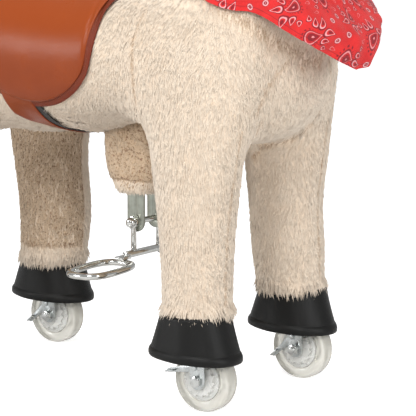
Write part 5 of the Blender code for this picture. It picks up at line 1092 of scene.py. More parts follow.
ears = {}
for side_name, side in SIDES.items():
    root = beside_head(EAR_SPOT, side)
    lean = (UP + LEFT * side * EAR_SPLAY - FORWARD * EAR_BACK).normalized()
    wide = (FORWARD * EAR_TURN + LEFT * side).cross(lean).cross(lean).normalized()
    thin = lean.cross(wide)
    front = thin if thin.dot(FORWARD + LEFT * side * EAR_TURN) > 0 else -thin
    for part, grow, finish in (("ear", 0.0, cream_plush), ("ear_lining", LINING_IN, felt)):
        shape = bmesh.new()
        rings = []
        for up, swell in smooth_rows(EAR_ROWS, 3):
            centre = root + lean * up * EAR_LONG + front * (0.0025 if grow else -0.0015)
            half_wide = max(swell * EAR_WIDE - PILE_DEPTH * 0.5 + grow, 0.001)
            half_thin = max(half_wide * (LINING_THIN if grow else EAR_THIN), 0.0008)
            ring = add_ring(shape, 24, centre, wide, front, half_wide, half_thin, half_thin)
            for point in ring:
                depth = (point.co - centre).dot(front)
                if depth > 0 and not grow:
                    point.co -= front * depth * (1 + EAR_HOLLOW)
            rings.append(ring)
        bridge_rings(shape, rings)
        piece = settle(f"{part}_{side_name}", shape, finish, "cream_plush", "head", levels=1)
        steady_depth(piece)
        ears.setdefault(side_name, []).append(piece)

    eye_at = beside_head(EYE_SPOT, side)
    eye_shape, lid_shape = bmesh.new(), bmesh.new()
    bmesh.ops.create_uvsphere(eye_shape, u_segments=32, v_segments=20, radius=EYE_RADIUS)
    bmesh.ops.translate(eye_shape, vec=eye_at, verts=eye_shape.verts)
    settle(f"eye_{side_name}", eye_shape, glass, "hoof_rubber", "head")
    bmesh.ops.create_uvsphere(lid_shape, u_segments=32, v_segments=20, radius=EYE_RADIUS + LID_OVER)
    outward = (LEFT * side + HEAD_RISE * 0.25 + HEAD_AXIS * 0.15).normalized()
    opening = (HEAD_RISE * 0.72 - outward * 0.62).normalized()
    ball = lid_shape.verts[:] + lid_shape.edges[:] + lid_shape.faces[:]
    cut = {"plane_co": opening * LID_CUT, "plane_no": opening, "clear_inner": True}
    bmesh.ops.bisect_plane(lid_shape, geom=ball, **cut)
    bmesh.ops.solidify(lid_shape, geom=lid_shape.faces, thickness=LID_THICK)
    bmesh.ops.translate(lid_shape, vec=eye_at, verts=lid_shape.verts)
    lid = settle(f"eyelid_{side_name}", lid_shape, cream_plush, "cream_plush", "head", levels=1)
    steady_depth(lid, 0.7)
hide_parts("head_plush")


# Halter: straps of dark leatherette, a noseband and a crown joined by cheek pieces, with a plated
# ring at each end of the noseband.

STRAP_WIDE, STRAP_THICK, STRAP_STAND = 0.018, 0.0026, PILE_DEPTH + 0.0016
STRAP_SECTION = ((-1, -1), (1, -1), (1.0, 0.55), (0.90, 1), (-0.90, 1), (-1.0, 0.55))
NOSE_AT, CROWN_AT, CROWN_END = 0.655, 0.13, -0.62
RING_RADIUS, RING_ROD, RING_STAND, CHEEK_STAND = 0.0105, 0.0017, STRAP_STAND + 0.0040, STRAP_STAND + 0.0012
dark_strap = leatherette("dark_strap_finish", srgb(84, 44, 30), srgb(122, 72, 52), 0.42, 900)


def head_point(along, turn, stand):
    """A place on the head, seen from its axis at an angle up from sideways."""
    out = LEFT * math.cos(turn) + HEAD_RISE * math.sin(turn)
    return standing_on(head_surface, at_head(along), out, 0.2, stand)


def strap(name, places, across, closed=False):
    """A strap through places on the skin, with its width along across, and softened edges."""
    shape = bmesh.new()
    rings = []
    count = len(places)
    for i, (place, out) in enumerate(places):
        before = places[(i - 1) % count if closed else max(i - 1, 0)][0]
        after = places[(i + 1) % count if closed else min(i + 1, count - 1)][0]
        run = (after - before).normalized()
        wide = (across - run * across.dot(run)).normalized() * STRAP_WIDE / 2
        high = run.cross(wide).normalized() * STRAP_THICK / 2
        high = high if high.dot(out) > 0 else -high
        ring = bmesh.ops.create_circle(shape, segments=len(STRAP_SECTION), radius=1)["verts"]
        for point, (a, b) in zip(ring, STRAP_SECTION):
            point.co = place + wide * a + high * b
        rings.append(ring)
    bridge_rings(shape, rings + (rings[:1] if closed else []), caps=not closed)
    return settle(name, shape, dark_strap, "dark_leather", "head", sharp=50)


def around_head(along, steps=72):
    """Places round the head at a share of its length, each with the way out from its axis."""
    places = []
    for step in range(steps):
        turn = 2 * math.pi * step / steps
        place = head_point(along, turn, STRAP_STAND)
        places.append((place, (place - at_head(along)).normalized()))
    return places


halter = strap("halter_noseband", around_head(NOSE_AT), HEAD_AXIS, closed=True)
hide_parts("halter")
crown_low = at_head(CROWN_AT, 0, CROWN_END).z
crown = [spot for spot in around_head(CROWN_AT, 96) if spot[0].z > crown_low]
start = max(range(len(crown)), key=lambda k: (crown[k][0] - crown[k - 1][0]).length)
strap("halter_crown", crown[start:] + crown[:start], HEAD_AXIS)
for side_name, side in SIDES.items():
    sideways = 0.0 if side > 0 else math.pi
    cheek = []
    for step in range(25):
        along = CROWN_AT + (NOSE_AT - CROWN_AT) * step / 24
        cheek.append((head_point(along, sideways, CHEEK_STAND), LEFT * side))
    strap(f"halter_cheek_{side_name}", cheek, HEAD_RISE)
    ring_at = head_point(NOSE_AT, sideways, RING_STAND)
    circle = []
    for step in range(32):
        turn = 2 * math.pi * step / 32
        circle.append(ring_at + (HEAD_AXIS * math.cos(turn) + HEAD_RISE * math.sin(turn)) * RING_RADIUS)
    hoop(f"halter_ring_{side_name}", circle, RING_ROD, 10, chrome, "chrome", "head")


# Steering: a chromed bar clamped on the stem inside the neck, which turns with the head. Its grips
# are moulded rubber, ribbed for the fingers and flanged at the inner end.

BAR_AT = NECK_ROOT + NECK_AXIS * 0.125
BAR_RADIUS, BAR_HALF, GRIP_LONG, GRIP_RADIUS, GRIP_FLANGE = 0.011, 0.170, 0.074, 0.0165, 0.021
GRIP_RIBS = 9

grip_rubber = Finish("grip_finish", srgb(74, 40, 28), 0.62)
specks = grip_rubber.noise(260, 3, rough=0.7)
grip_rubber.feed(Base_Color=grip_rubber.mix(specks, srgb(58, 30, 22), srgb(92, 52, 38)))
grip_rubber.feed(Roughness=0.5 + specks * 0.2, Normal=grip_rubber.bump(specks, 0.0003, 0.5))

bar_profile = [(0.0, -BAR_HALF), (BAR_RADIUS - 0.001, -BAR_HALF), (BAR_RADIUS, -BAR_HALF + 0.001)]
bar_profile += [(r, -y) for r, y in reversed(bar_profile)]
bar = spun("handlebar_tube", bar_profile, BAR_AT, chrome, "chrome", "head", 48, closed=False, sharp=40)
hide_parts("handlebar")
for side_name, side in SIDES.items():
    end = BAR_HALF + 0.0043
    start, cap = end - GRIP_LONG, BAR_HALF + 0.0003
    outline = [(0.0, end), (0.009, end), (0.0135, end - 0.0007), (0.0158, end - 0.0028)]
    for rib in range(GRIP_RIBS):
        middle = end - 0.008 - (GRIP_LONG - 0.020) * (rib + 0.5) / GRIP_RIBS
        outline += [(GRIP_RADIUS, middle + 0.0022), (GRIP_RADIUS, middle - 0.0014)]
        outline += [(GRIP_RADIUS - 0.0013, middle - 0.0022), (GRIP_RADIUS - 0.0013, middle - 0.0030)]
    outline += [(GRIP_RADIUS, start + 0.006), (GRIP_RADIUS + 0.001, start + 0.0045)]
    outline += [(GRIP_FLANGE - 0.0006, start + 0.004), (GRIP_FLANGE, start + 0.003)]
    outline += [(GRIP_FLANGE, start + 0.001), (GRIP_FLANGE - 0.0008, start)]
    outline += [(BAR_RADIUS + 0.0003, start), (BAR_RADIUS + 0.0003, cap), (0.0, cap)]
    outline = [(r, side * y) for r, y in outline]
    name = f"moulded_grip_{side_name}"
    grip = spun(name, outline, BAR_AT, grip_rubber, "grip_rubber", "head", 40, sharp=35)
    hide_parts(f"grip_{side_name}")


# Mane and tail: hanks of long ivory pile on a narrow strip of backing. The mane runs from the
# withers over the crest to a forelock between the ears; the tail springs from the rump and hangs.

MANE_WIDE, MANE_HIGH, MANE_SINK, TAIL_SINK = 0.026, 0.024, 0.005, 0.007
# The mane up the neck: place and size, as shares. The forelock over the head: place, rise, tilt, size.
MANE_CREST = ((0.30, 0.40), (0.38, 0.85), (0.52, 1.00), (0.66, 1.00), (0.80, 1.00))
FORELOCK = ((0.06, 0.66, 24, 1.00), (0.20, 0.96, -10, 0.90), (0.34, 0.98, -30, 0.70), (0.46, 0.90, -36, 0.30))
# Down the tail: shares of its reach behind and of its length, the way it points, and its size.
TAIL_ROWS = (
    (0.00, 0.00, 181, 0.42), (0.10, 0.00, 182, 0.45), (0.42, -0.02, 200, 0.60),
    (0.68, -0.14, 238, 0.85), (0.80, -0.36, 262, 1.00), (0.82, -0.62, 270, 0.96),
    (0.79, -0.86, 274, 0.62), (0.78, -1.00, 276, 0.16),
)
TAIL_ROOT, TAIL_REACH, TAIL_LONG, TAIL_RADIUS = 0.612, 0.100, 0.330, 0.044

ivory_hair = plush("ivory_hair_finish", srgb(246, 238, 224), srgb(232, 220, 200), srgb(190, 172, 146))
mane_rows = []
for up, swell in MANE_CREST:
    middle = NECK_ROOT + NECK_AXIS * up * NECK_LENGTH
    back = next(row[3] for row in neck_rows if row[1] >= middle.z)
    crest = middle + Vector((-NECK_AXIS.z, 0, NECK_AXIS.x)) * back
    mane_rows.append((crest.x, crest.z, NECK_TILT, swell))
for along, rise, tilt, swell in FORELOCK:
    crest = at_head(along, 0, rise)
    mane_rows.append((crest.x, crest.z, tilt, swell))
mane_shape = bmesh.new()
mane_rows = [(x, z, tilt, s * MANE_HIGH, MANE_HIGH / 2, s * MANE_WIDE) for x, z, tilt, s in mane_rows]
along_rows(mane_shape, smooth_rows(mane_rows, 3), 20, 2.0, MANE_SINK)
mane_skin = settle("mane_skin", mane_shape, ivory_hair, "mane_plush", "head", levels=1)
steady_depth(mane_skin)
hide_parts("mane")

tail_rows = []
for back, down, tilt, swell in TAIL_ROWS:
    x, z = -BODY_HALF_LENGTH - back * TAIL_REACH, TAIL_ROOT + down * TAIL_LONG
    tail_rows.append((x, z, tilt, swell * TAIL_RADIUS, swell * TAIL_RADIUS, swell * TAIL_RADIUS))
tail_shape = bmesh.new()
along_rows(tail_shape, smooth_rows(tail_rows, 3), 24, 2.0, TAIL_SINK)
tail_skin = settle("tail_skin", tail_shape, ivory_hair, "mane_plush", "chassis", levels=1)
steady_depth(tail_skin)
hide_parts("tail")


# Bandana: a printed cotton square folded in two and tied round the foot of the neck. Its hemmed
# front stands off the chest and falls to a blunt point; the print is a common paisley.

CLOTH_TOP, CLOTH_DEPTH, CLOTH_FLARE, CLOTH_THICK = 0.050, 0.116, 0.067, 0.0011
CLOTH_STAND = PILE_DEPTH + 0.0062
CLOTH_COLUMNS, CLOTH_ROWS = 220, 30
# Waves round the cloth: size, how many, where they start, and how far they slant on the way down.
FOLDS = ((0.006, 7, 0.6, 0), (0.0016, 19, 2.0, 3), (0.0012, 31, 1.0, -4))
TUCKS = ((0.0010, 23, 0, 6), (0.0008, 41, 0, -9))
# Round the neck from the front: how far round, how deep the hem falls, how much it stands off.
HEM_FALL = (
    (0.00, 1.06, 1.00), (0.09, 0.93, 0.96), (0.20, 0.77, 0.78), (0.33, 0.67, 0.38), (0.47, 0.76, 0.12),
    (0.60, 0.66, 0.00), (0.78, 0.22, 0.00), (1.00, 0.12, 0.00),
)
# Down the front: share of the depth, and share of the flare.
CLOTH_SWELL = (
    (0.0, 0.0), (0.20, -0.06), (0.30, 0.00), (0.42, 0.32), (0.52, 0.68), (0.62, 0.95), (0.80, 1.0),
    (1.0, 0.96),
)
PRINT_PITCH = 0.072
CLOTH_RED, DARK_RED, PRINT_WHITE = srgb(220, 34, 36), srgb(112, 8, 28), srgb(236, 184, 188)
# Each drop's place in its cell, turn, length, width and bend.
SMALL_DROPS = (
    ((-0.41, 0.32), 100, 0.07, 0.085, 0.0),
    ((-0.25, 0.27), 95, 0.11, 0.11, 0.1),
    ((-0.05, 0.29), 82, 0.145, 0.12, -0.2),
    ((0.15, 0.08), 8, 0.15, 0.12, 0.2),
    ((0.09, -0.12), 4, 0.11, 0.10, 0.0),
    ((0.12, -0.29), -12, 0.075, 0.08, 0.0),
)
THIN_DROPS = (((0.39, -0.26), -22, 0.085, 0.07, 0.0), ((0.17, -0.455), -28, 0.085, 0.055, 0.0))
LARGE_DROP = ((-0.21, -0.04), 35, 0.20, 0.23, 0.25)
FLOWERS, FLOWER_SIZE = ((0.415, -0.06), (0.29, 0.40)), 0.068


def printed_cotton():
    """Plain-woven red cotton with a paisley: drops fanned round a large one, flowers and specks."""
    made = Finish("bandana_finish", CLOTH_RED, 0.8, Sheen_Weight=0.12)
    flat = made.node("UVMap", {"uv_map": "cloth"})
    across, down = (made.along(axis, flat) / PRINT_PITCH for axis in (0, 1))
    column = across.math("FLOOR")
    odd = column.math("FLOORED_MODULO", 2.0)
    down = down + odd * 0.5
    row = down.math("FLOOR")
    x = (across - column - 0.5) * (1 - 2 * row.math("FLOORED_MODULO", 2.0))
    y = (down - row - 0.5) * (1 - 2 * odd)
    cell = made.node("CombineXYZ", {}, {0: x, 1: y})

    def drop(at, turn, long, wide, bend):
        """A bent teardrop: 0 at its heart and 1 on its rim, blunt behind and pointed ahead."""
        values = {"Vector": cell, "Location": (*at, 0), "Rotation": (0, 0, math.radians(turn))}
        values["Scale"] = (long, wide, 1)
        local = made.node("Mapping", {"vector_type": "TEXTURE"}, values)
        run, side = made.along(0, local), made.along(1, local)
        square = run * run
        side = (side + square * bend) / (0.56 - 0.44 * run).math("MAXIMUM", 0.1)
        return (square + side * side) ** 0.5

    def flower(at):
        way = made.node("VectorMath", {"operation": "SUBTRACT"}, {0: cell, 1: (*at, 0)})
        return made.node("VectorMath", {"operation": "LENGTH"}, {0: way}, 1)

    def nearest(motifs):
        least = motifs[0]
        for motif in motifs[1:]:
            least = least.math("MINIMUM", motif)
        return least

    def band(value, low, high, soft=0.05):
        return value.step(low - soft, low + soft) * (1 - value.step(high - soft, high + soft))

    large = drop(*LARGE_DROP)
    small, thin = (nearest([drop(*motif) for motif in drops]) for drops in (SMALL_DROPS, THIN_DROPS))
    bloom = nearest([flower(at) for at in FLOWERS]) / FLOWER_SIZE
    turn = (y - LARGE_DROP[0][1]).math("ARCTAN2", x - LARGE_DROP[0][0])
    beads = (turn * 17.0).math("SINE").step(0.1, 0.5) * band(large, 1.22, 1.40)
    star = (turn * 5.0).math("SINE") * 0.05 + 0.13
    specks = made.node("TexVoronoi", {}, {"Vector": cell, "Scale": 11.0})
    specks = (1 - specks.step(0.06, 0.16)) * large.step(1.25, 1.4) * small.step(1.2, 1.4)
    specks = specks * made.noise(3.0, 2, place=cell).step(0.48, 0.58)
    dark = band(large, 0.16, 0.60) * 0.9 + band(large, 0.96, 1.10, 0.03) + band(small, 0.94, 1.14, 0.04)
    dark = dark + (1 - small.step(0.34, 0.50)) * 0.9 + beads + specks * 0.9 + band(bloom, 0.22, 0.52, 0.1)
    dark = dark + band(large, 0.66, 0.76) * 0.5 + band(bloom, 0.94, 1.10, 0.06) * 0.7
    white = band(large, 0.80, 0.94) * 0.62 + (1 - large.step(star - 0.04, star + 0.04)) * 0.8
    white = white + band(small, 0.68, 0.90) * 0.85 + band(thin, 0.72, 0.96) * 0.5
    white = white + band(bloom, 0.54, 0.94, 0.08) * 0.9 + (1 - bloom.step(0.10, 0.22)) * 0.8
    dye = made.noise(34, 3, rough=0.6, place=flat)
    ground = made.mix(dye.step(0.3, 0.7), srgb(208, 26, 28), srgb(226, 36, 36))
    colours = made.mix(dark.math("MINIMUM", 1.0) * 0.88, ground, DARK_RED)
    colours = made.mix(white.math("MINIMUM", 1.0) * 0.92, colours, PRINT_WHITE)
    hem = made.node("Attribute", {"attribute_name": "hem"}, output="Fac")
    seam = band(hem, 0.0072, 0.0084, 0.0006)
    colours = made.mix(seam * 0.45, colours, DARK_RED)
    weave = made.waves("X", 620.0, flat) + made.waves("Y", 620.0, flat)
    puckers = made.noise(1.0, 2, place=made.stretched((220, 40, 1), flat)) * (1 - hem.step(0.006, 0.016))
    height = weave * 0.12 + puckers * 0.9 - seam * 0.8 + made.noise(70, 3, place=flat) * 0.5
    made.feed(Base_Color=colours, Normal=made.bump(height, 0.0011, 0.55))
    return made


def read_rows(rows, at):
    """A row read off a table whose first column rises, at a place along it."""
    for low, high in zip(rows, rows[1:]):
        if at <= high[0]:
            share = (at - low[0]) / max(high[0] - low[0], 1e-9)
            return [a + (b - a) * share for a, b in zip(low[1:], high[1:])]
    return rows[-1][1:]


def ripple(waves, turn, down):
    """How far the waves together move the cloth in or out at a place."""
    return sum(size * math.sin(count * turn + start + slant * down) for size, count, start, slant in waves)


shoulders = surface_of(body_skin, neck_skin)
fore = Vector((NECK_AXIS.z, 0, -NECK_AXIS.x))
hems, swells = smooth_rows(HEM_FALL, 8), smooth_rows(CLOTH_SWELL, 8)
cloth_shape = bmesh.new()
hem_layer = cloth_shape.verts.layers.float.new("hem")
cloth_map = cloth_shape.loops.layers.uv.new("cloth")
cloth_grid = bmesh.ops.create_grid(cloth_shape, x_segments=CLOTH_COLUMNS, y_segments=CLOTH_ROWS, size=1)
placed = {}
for point in cloth_grid["verts"]:
    i = round((point.co.x + 1) / 2 * CLOTH_COLUMNS)
    j = round((1 - point.co.y) / 2 * CLOTH_ROWS)
    turn, down = 2 * math.pi * i / CLOTH_COLUMNS, j / CLOTH_ROWS
    outward = fore * math.cos(turn) + LEFT * math.sin(turn)
    fall, flare = read_rows(hems, abs(1 - abs(1 - turn / math.pi)))
    (swell,) = read_rows(swells, down)
    middle = NECK_ROOT + NECK_AXIS * (CLOTH_TOP - fall * CLOTH_DEPTH * down)
    hit = shoulders.ray_cast(middle + outward * BODY_HALF_LENGTH, -outward)[0]
    hit = middle + outward * (NECK_WIDE - PILE_DEPTH) if hit is None else hit
    lying = (hit - middle).dot(outward) + CLOTH_STAND
    hanging = NECK_WIDE + CLOTH_FLARE * flare * swell + ripple(FOLDS, turn, down) * down * flare
    point.co = middle + outward * (max(lying, hanging) + ripple(TUCKS, turn, down) * min(down * 4, 1))
    placed[i, j] = point
lengths = {}
for i in range(CLOTH_COLUMNS + 1):
    walked = 0.0
    for j in range(CLOTH_ROWS + 1):
        walked += (placed[i, j].co - placed[i, max(j - 1, 0)].co).length
        lengths[i, j] = walked
    for j in range(CLOTH_ROWS + 1):
        placed[i, j][hem_layer] = walked - lengths[i, j]
girths, level = [0.0], round(CLOTH_ROWS * 0.75)
for i in range(CLOTH_COLUMNS):
    girths.append(girths[-1] + (placed[i + 1, level].co - placed[i, level].co).length)
cloth_shape.verts.index_update()
marks = {point.index: place for place, point in placed.items()}
for face in cloth_shape.faces:
    for corner in face.loops:
        i, j = marks[corner.vert.index]
        corner[cloth_map].uv = (girths[i], -lengths[i, j])
bmesh.ops.remove_doubles(cloth_shape, verts=cloth_shape.verts, dist=0.00002)
bmesh.ops.recalc_face_normals(cloth_shape, faces=cloth_shape.faces)
front_face = max(cloth_shape.faces, key=lambda face: face.calc_center_median().x)
if front_face.normal.x < 0:
    bmesh.ops.reverse_faces(cloth_shape, faces=cloth_shape.faces)
bmesh.ops.solidify(cloth_shape, geom=cloth_shape.faces, thickness=CLOTH_THICK)
bandana = settle("bandana_cloth", cloth_shape, printed_cotton(), "red_cloth", "chassis", sharp=60)
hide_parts("bandana")


# Pile: the plush's short locks, rooted in every cream skin but where the tack covers it. They are
# combed back and down the barrel and straight down the legs, and hang over the hooves as a hem.

PATCH_DRIFT = 0.26
DOWN = np.array([0.0, 0.0, -1.0])
DOWN_BARREL, FROM_NOSE = np.array([-0.18, 0.0, -1.0]), np.array(-HEAD_AXIS) + 0.25 * DOWN
# Each line's half width and its points over the right side; the left side has the same. The pile takes
# painted shade along each: in sewn seams and creases, and as the bandana's painted shadow under its hem.
SHADE_LINES = {
    "chest": (0.005, (
        (0.348, -0.068, 0.565), (0.346, -0.059, 0.549), (0.343, -0.056, 0.531),
        (0.336, -0.076, 0.517), (0.330, -0.096, 0.492), (0.321, -0.111, 0.457),
    )),
    "armpit": (0.006, (
        (0.195, 0.076, 0.364), (0.217, 0.065, 0.380), (0.242, 0.064, 0.388), (0.263, 0.073, 0.393),
        (0.282, 0.081, 0.405), (0.301, 0.085, 0.426), (0.314, 0.087, 0.445),
    )),
    "belly": (0.008, (
        (0.005, -0.152, 0.434), (0.055, -0.150, 0.431), (0.110, -0.147, 0.429), (0.145, -0.154, 0.432),
    )),
    "shoulder": (0.0030, (
        (0.158, -0.158, 0.613), (0.150, -0.182, 0.564), (0.150, -0.188, 0.529),
        (0.151, -0.187, 0.496), (0.149, -0.176, 0.458), (0.152, -0.169, 0.439),
    )),
    "hem_shade": (0.013, (
        (0.278, -0.142, 0.610), (0.303, -0.132, 0.599), (0.324, -0.115, 0.583), (0.338, -0.091, 0.566),
        (0.346, -0.062, 0.553), (0.349, -0.024, 0.537), (0.347, 0.022, 0.523),
    )),
}
# Where the legs' seams run and their hem starts, the sleeve's seam, and the fringe over the belly's fold.
PANEL_FOOT, PANEL_EDGE, FRONT_LOW, FRONT_HIGH = 0.180, LEG_Y + 0.002, 0.17, 0.43
HEM_LOW, HEM_HIGH, SLEEVE_SEAM, SLEEVE_HALF = 0.1495, 0.166, 0.327, 0.05
FRINGE_RISE, FRINGE_HALF, BELLY_FRONT = 0.017, 0.008, 0.17

tack = [surface_of(skirt), surface_of(girth_web, girth_tab)]
leg_surfaces = {where: surface_of(skin) for where, skin in leg_skins.items()}
leg_solids = list(leg_surfaces.values())
neck_surface = surface_of(neck_skin)


def threes(items, name, kind=float):
    """Three numbers of each item of a mesh, one row for each."""
    values = np.empty(len(items) * 3, kind)
    items.foreach_get(name, values)
    return values.reshape(-1, 3)


def scatter(piece, count, seed):
    """Points spread evenly over a piece, with the skin's normal at each."""
    mesh = piece.data
    mesh.calc_loop_triangles()
    corners = threes(mesh.loop_triangles, "vertices", np.int32)
    places, normals = threes(mesh.vertices, "co"), threes(mesh.vertices, "normal")
    a, b, c = (places[corners[:, k]] for k in range(3))
    areas = np.linalg.norm(np.cross(b - a, c - a), axis=1)
    chance = np.random.default_rng(seed)
    chosen = chance.choice(len(areas), size=count, p=areas / areas.sum())
    u, v = chance.random(count), chance.random(count)
    over = u + v > 1
    u[over], v[over] = 1 - u[over], 1 - v[over]
    shares = np.stack([1 - u - v, u, v], axis=1)[:, :, None]
    spots = (places[corners[chosen]] * shares).sum(axis=1)
    ups = (normals[corners[chosen]] * shares).sum(axis=1)
    return spots, ups / np.linalg.norm(ups, axis=1, keepdims=True)


def unit(rows):
    """Rows of directions, each made one long."""
    return rows / np.maximum(np.linalg.norm(rows, axis=1, keepdims=True), 1e-9)


def inside_of(spots, solids):
    """True where a point lies inside one of the solids."""
    hidden = np.zeros(len(spots), bool)
    for i, spot in enumerate(spots):
        spot = Vector(spot)
        for solid in solids:
            hit, facing = solid.find_nearest(spot, 0.06)[:2]
            if hit is not None and (spot - hit).dot(facing) < 0:
                hidden[i] = True
                break
    return hidden


def covered(spots, ups, covers, reach):
    """True where one of the covers lies less than reach above a point."""

    def under(spot, up):
        return any(cover.ray_cast(spot, up, reach)[0] is not None for cover in covers)

    return np.array([under(Vector(spot), Vector(up)) for spot, up in zip(spots, ups)])


def drift(spots, scale, seed):
    """A slow random direction over space, the same for neighbouring locks."""
    waves = np.random.default_rng(seed)
    total = np.zeros_like(spots)
    for _ in range(7):
        run = waves.normal(size=3)
        run *= scale * waves.uniform(0.6, 1.7) / np.linalg.norm(run)
        total += np.sin(spots @ run + waves.uniform(0, 6.28))[:, None] * waves.normal(size=3)
    return total / 2.6


def near_creases(spots, shaded_lines):
    """1 on a shaded line, a row of places and a half width, and 0 well away from it."""
    near = np.zeros(len(spots))
    for line, width in shaded_lines:
        for a, b in zip(line, line[1:]):
            a, b = np.array(a), np.array(b)
            share = np.clip((spots - a) @ (b - a) / ((b - a) @ (b - a)), 0, 1)
            away = np.linalg.norm(spots - a - share[:, None] * (b - a), axis=1)
            near = np.maximum(near, np.exp(-((away / width) ** 2)))
    return near


def curly(spots):
    """Combing that turns every way from curl to curl, and down on the whole."""
    return drift(spots, 190, 9) * 1.6 + DOWN * 0.6


def to_each_side(spots):
    """Combing from the crest down both sides of the neck."""
    return np.stack([-0.2 * np.ones(len(spots)), np.sign(spots[:, 1]) * 0.8, -np.ones(len(spots))], axis=1)


def grow_pile(
    name, skin, count, combed, seed, finish=cream_plush, body=None, within=None,
    solids=(), covers=(), reach=0.012, shaded_lines=(), length=0.0125, width=0.0024, lift=0.24, tousle=0.15,
    patches=75, shade=0.9, rounded=0.82,
):
    """Closed locks of pile rooted in a skin and laid the way it is combed."""
    spots, ups = scatter(skin, count, seed)
    if within:
        kept = within(spots)
        spots, ups = spots[kept], ups[kept]
    if solids:
        kept = ~inside_of(spots, solids)
        spots, ups = spots[kept], ups[kept]
    if covers:
        kept = ~covered(spots, ups, covers, reach)
        spots, ups = spots[kept], ups[kept]
    chance = np.random.default_rng(seed + 1)
    number = len(spots)
    run = (combed(spots) if callable(combed) else combed) + PATCH_DRIFT * drift(spots, patches, 5)
    run += tousle * chance.normal(size=(number, 3))
    run = unit(run - ups * (run * ups).sum(axis=1, keepdims=True))
    rise = lift * chance.uniform(0.5, 1.5, (number, 1))
    run = unit(run + ups * rise)
    side = unit(np.cross(ups, run))
    # Near the shaded lines the locks are shorter, and their depth drops: painted shade, down to dark brown.
    sunk = near_creases(spots, shaded_lines)
    long = length * chance.uniform(0.65, 1.25, (number, 1)) * (1 - 0.35 * sunk[:, None])
    wide = width * chance.uniform(0.7, 1.3, (number, 1))
    # Each lock is a closed wedge: two corners at its root, a ridge over them, and a tip.
    root = spots - ups * 0.0008
    ridge = root + ups * wide * 0.55 + run * long * 0.28
    locks = np.stack([root + side * wide / 2, root - side * wide / 2, ridge, root + run * long], axis=1)
    corners = np.array([[0, 1, 2], [0, 2, 3], [1, 3, 2], [0, 3, 1]])
    faces = (np.arange(number)[:, None, None] * 4 + corners).reshape(-1)
    mesh = bpy.data.meshes.new(name)
    mesh.vertices.add(number * 4)
    mesh.vertices.foreach_set("co", locks.reshape(-1))
    mesh.loops.add(number * 12)
    mesh.loops.foreach_set("vertex_index", faces)
    mesh.polygons.add(number * 4)
    mesh.polygons.foreach_set("loop_start", np.arange(number * 4) * 3)
    mesh.update(calc_edges=True)
    mesh.validate()
    # The depth rises from root to tip and drops near the lines: both are painted shade.
    depth = np.tile([0.0, 0.0, 0.55, 1.0], number) - np.repeat(shade * sunk, 4)
    lock = np.repeat(chance.random(number), 4)
    for attribute, values in (("depth", depth), ("lock", lock)):
        mesh.attributes.new(attribute, "FLOAT", "POINT").data.foreach_set("value", values)
    mesh.shade_smooth()
    # The locks take most of their shading from the skin, so that the pile looks soft as a whole.
    flow = np.stack([side, -side, ups, ups], axis=1)
    normals = np.repeat(ups[:, None], 4, axis=1) * rounded + flow * (1 - rounded)
    mesh.normals_split_custom_set_from_vertices(unit(normals.reshape(-1, 3)).tolist())
    piece = bpy.data.objects.new(name, mesh)
    bpy.context.scene.collection.objects.link(piece)
    mesh.materials.append(finish.material)
    if body:
        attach(piece, body)
    return piece


# The pile takes painted shade along seams, creases and the bandana's painted shadow, on both sides.
shaded_lines = []
for width, line in SHADE_LINES.values():
    shaded_lines += [(line, width), ([(x, -y, z) for x, y, z in line], width)]
for part in range(3):
    grow_pile(
        f"body_pile_{part}", body_skin, 38000, DOWN_BARREL, 20 + part, body="chassis", shaded_lines=shaded_lines,
        covers=tack, solids=[*leg_solids, neck_surface],
    )
grow_pile(
    "belly_fringe", body_skin, 60000, DOWN_BARREL, 30, body="chassis", solids=leg_solids, covers=tack,
    within=lambda spots: (np.abs(spots[:, 2] - BELLY_FOLD - FRINGE_RISE) < FRINGE_HALF)
    & (spots[:, 0] > FOLD_BACK)
    & (spots[:, 0] < BELLY_FRONT),
    length=0.019, width=0.0034, lift=0.30, tousle=0.22,
)
grow_pile(
    "belly_tufts", body_skin, 16000, curly, 31, body="chassis", solids=leg_solids, covers=tack,
    within=lambda spots: (spots[:, 2] < BELLY_FOLD - 0.002) & (np.abs(spots[:, 0]) < BELLY_FRONT),
    length=0.015, width=0.0036, lift=0.3, tousle=0.30, shade=0.6, shaded_lines=shaded_lines,
)
on_panel = {
    "inner": lambda spots: (np.abs(spots[:, 1]) < PANEL_EDGE) & (spots[:, 2] > PANEL_FOOT),
    "outer": lambda spots: (np.abs(spots[:, 1]) >= PANEL_EDGE) | (spots[:, 2] <= PANEL_FOOT),
}
leg_piles = {}
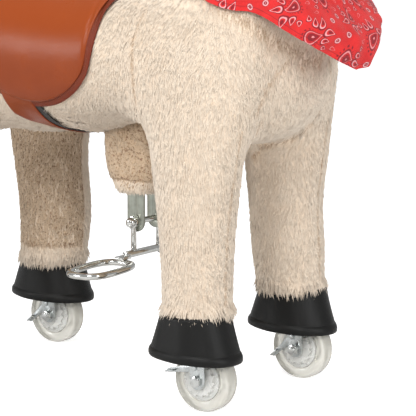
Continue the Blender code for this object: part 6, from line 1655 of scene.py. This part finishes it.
for number, (where, (axle, side)) in enumerate(CORNERS.items()):
    skin, surface = leg_skins[where], leg_surfaces[where]
    front_seam, foot_seam = [], []
    for height in np.linspace(FRONT_LOW, FRONT_HIGH, 14):
        ahead = Vector((LEG_X[axle] + 0.3, side * PANEL_EDGE, height))
        front_seam.append(tuple(surface.ray_cast(ahead, -FORWARD)[0]))
    for turn in np.linspace(0, math.pi, 11 if axle == "rear" else 0):
        inward = Vector((math.cos(turn), -side * math.sin(turn), 0))
        beside = Vector((LEG_X[axle], side * LEG_Y, PANEL_FOOT)) + inward * 0.3
        foot_seam.append(tuple(surface.ray_cast(beside, -inward)[0]))
    lines = [*shaded_lines, (front_seam, 0.003)] + ([(foot_seam, 0.004)] if foot_seam else [])
    leg_piles[where] = []
    # The rear legs' inner panels take the darker curly plush: painted shade under the barrel.
    for panel, finish in (("inner", shaded_curly_pile if axle == "rear" else cream_plush), ("outer", cream_plush)):
        pile = grow_pile(
            f"leg_pile_{panel}_{where}", skin, 42000, DOWN, 40 + number, finish, within=on_panel[panel],
            solids=[body_surface], shaded_lines=lines,
        )
        leg_piles[where].append(pile)
    hem = grow_pile(
        f"leg_hem_{where}", skin, 42000, DOWN, 50 + number, length=0.0175, width=0.0036, lift=0.55,
        within=lambda spots: (spots[:, 2] < HEM_HIGH) & (spots[:, 2] > HEM_LOW),
    )
    leg_piles[where].append(hem)
square = ((-1, -1), (1, -1), (1, 1), (-1, 1), (-1, -1))
seam_round = [(SLEEVE_X + SLEEVE_HALF * x, SLEEVE_HALF * y, SLEEVE_SEAM + 0.0005) for x, y in square]
# The curly tube's pile takes the darker plush: painted shade under the belly.
grow_pile(
    "sleeve_pile", sleeve_skin, 13000, curly, 60, shaded_curly_pile, body="chassis", length=0.0075,
    within=lambda spots: spots[:, 2] > SLEEVE_SEAM, shaded_lines=[(seam_round, 0.0035)],
)
grow_pile(
    "sleeve_foot_pile", sleeve_skin, 11000, DOWN, 61, body="chassis", length=0.0095,
    within=lambda spots: spots[:, 2] < SLEEVE_SEAM,
)
grow_pile("neck_pile", neck_skin, 26000, DOWN, 70, body="head", solids=[surface_of(head_skin)])
grow_pile(
    "head_pile", head_skin, 26000, FROM_NOSE, 71, body="head", solids=[neck_surface], length=0.0075,
    width=0.0020, lift=0.22,
)
for side_name, (ear, lining) in ears.items():
    grow_pile(
        f"ear_pile_{side_name}", ear, 2600, FROM_NOSE, 72, body="head", covers=[surface_of(lining)],
        length=0.0055, width=0.0016, reach=0.004,
    )
grow_pile(
    "mane_hair", mane_skin, 9000, to_each_side, 80, ivory_hair, body="head", length=0.034,
    width=0.0034, lift=0.45, rounded=0.45, patches=60,
)
grow_pile(
    "tail_hair", tail_skin, 16000, DOWN, 81, ivory_hair, body="chassis", length=0.040,
    width=0.0034, lift=0.22, rounded=0.45, patches=45,
)


# Where leg meets body: one cloth runs from the barrel over the top of each leg. Each leg's skin and pile have
# their placing written into their own shapes.

for where, (axle, _) in CORNERS.items():
    x, legs = LEG_X[axle], f"{axle}_legs"
    for piece in (leg_skins[where], *leg_piles[where]):
        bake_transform(piece)
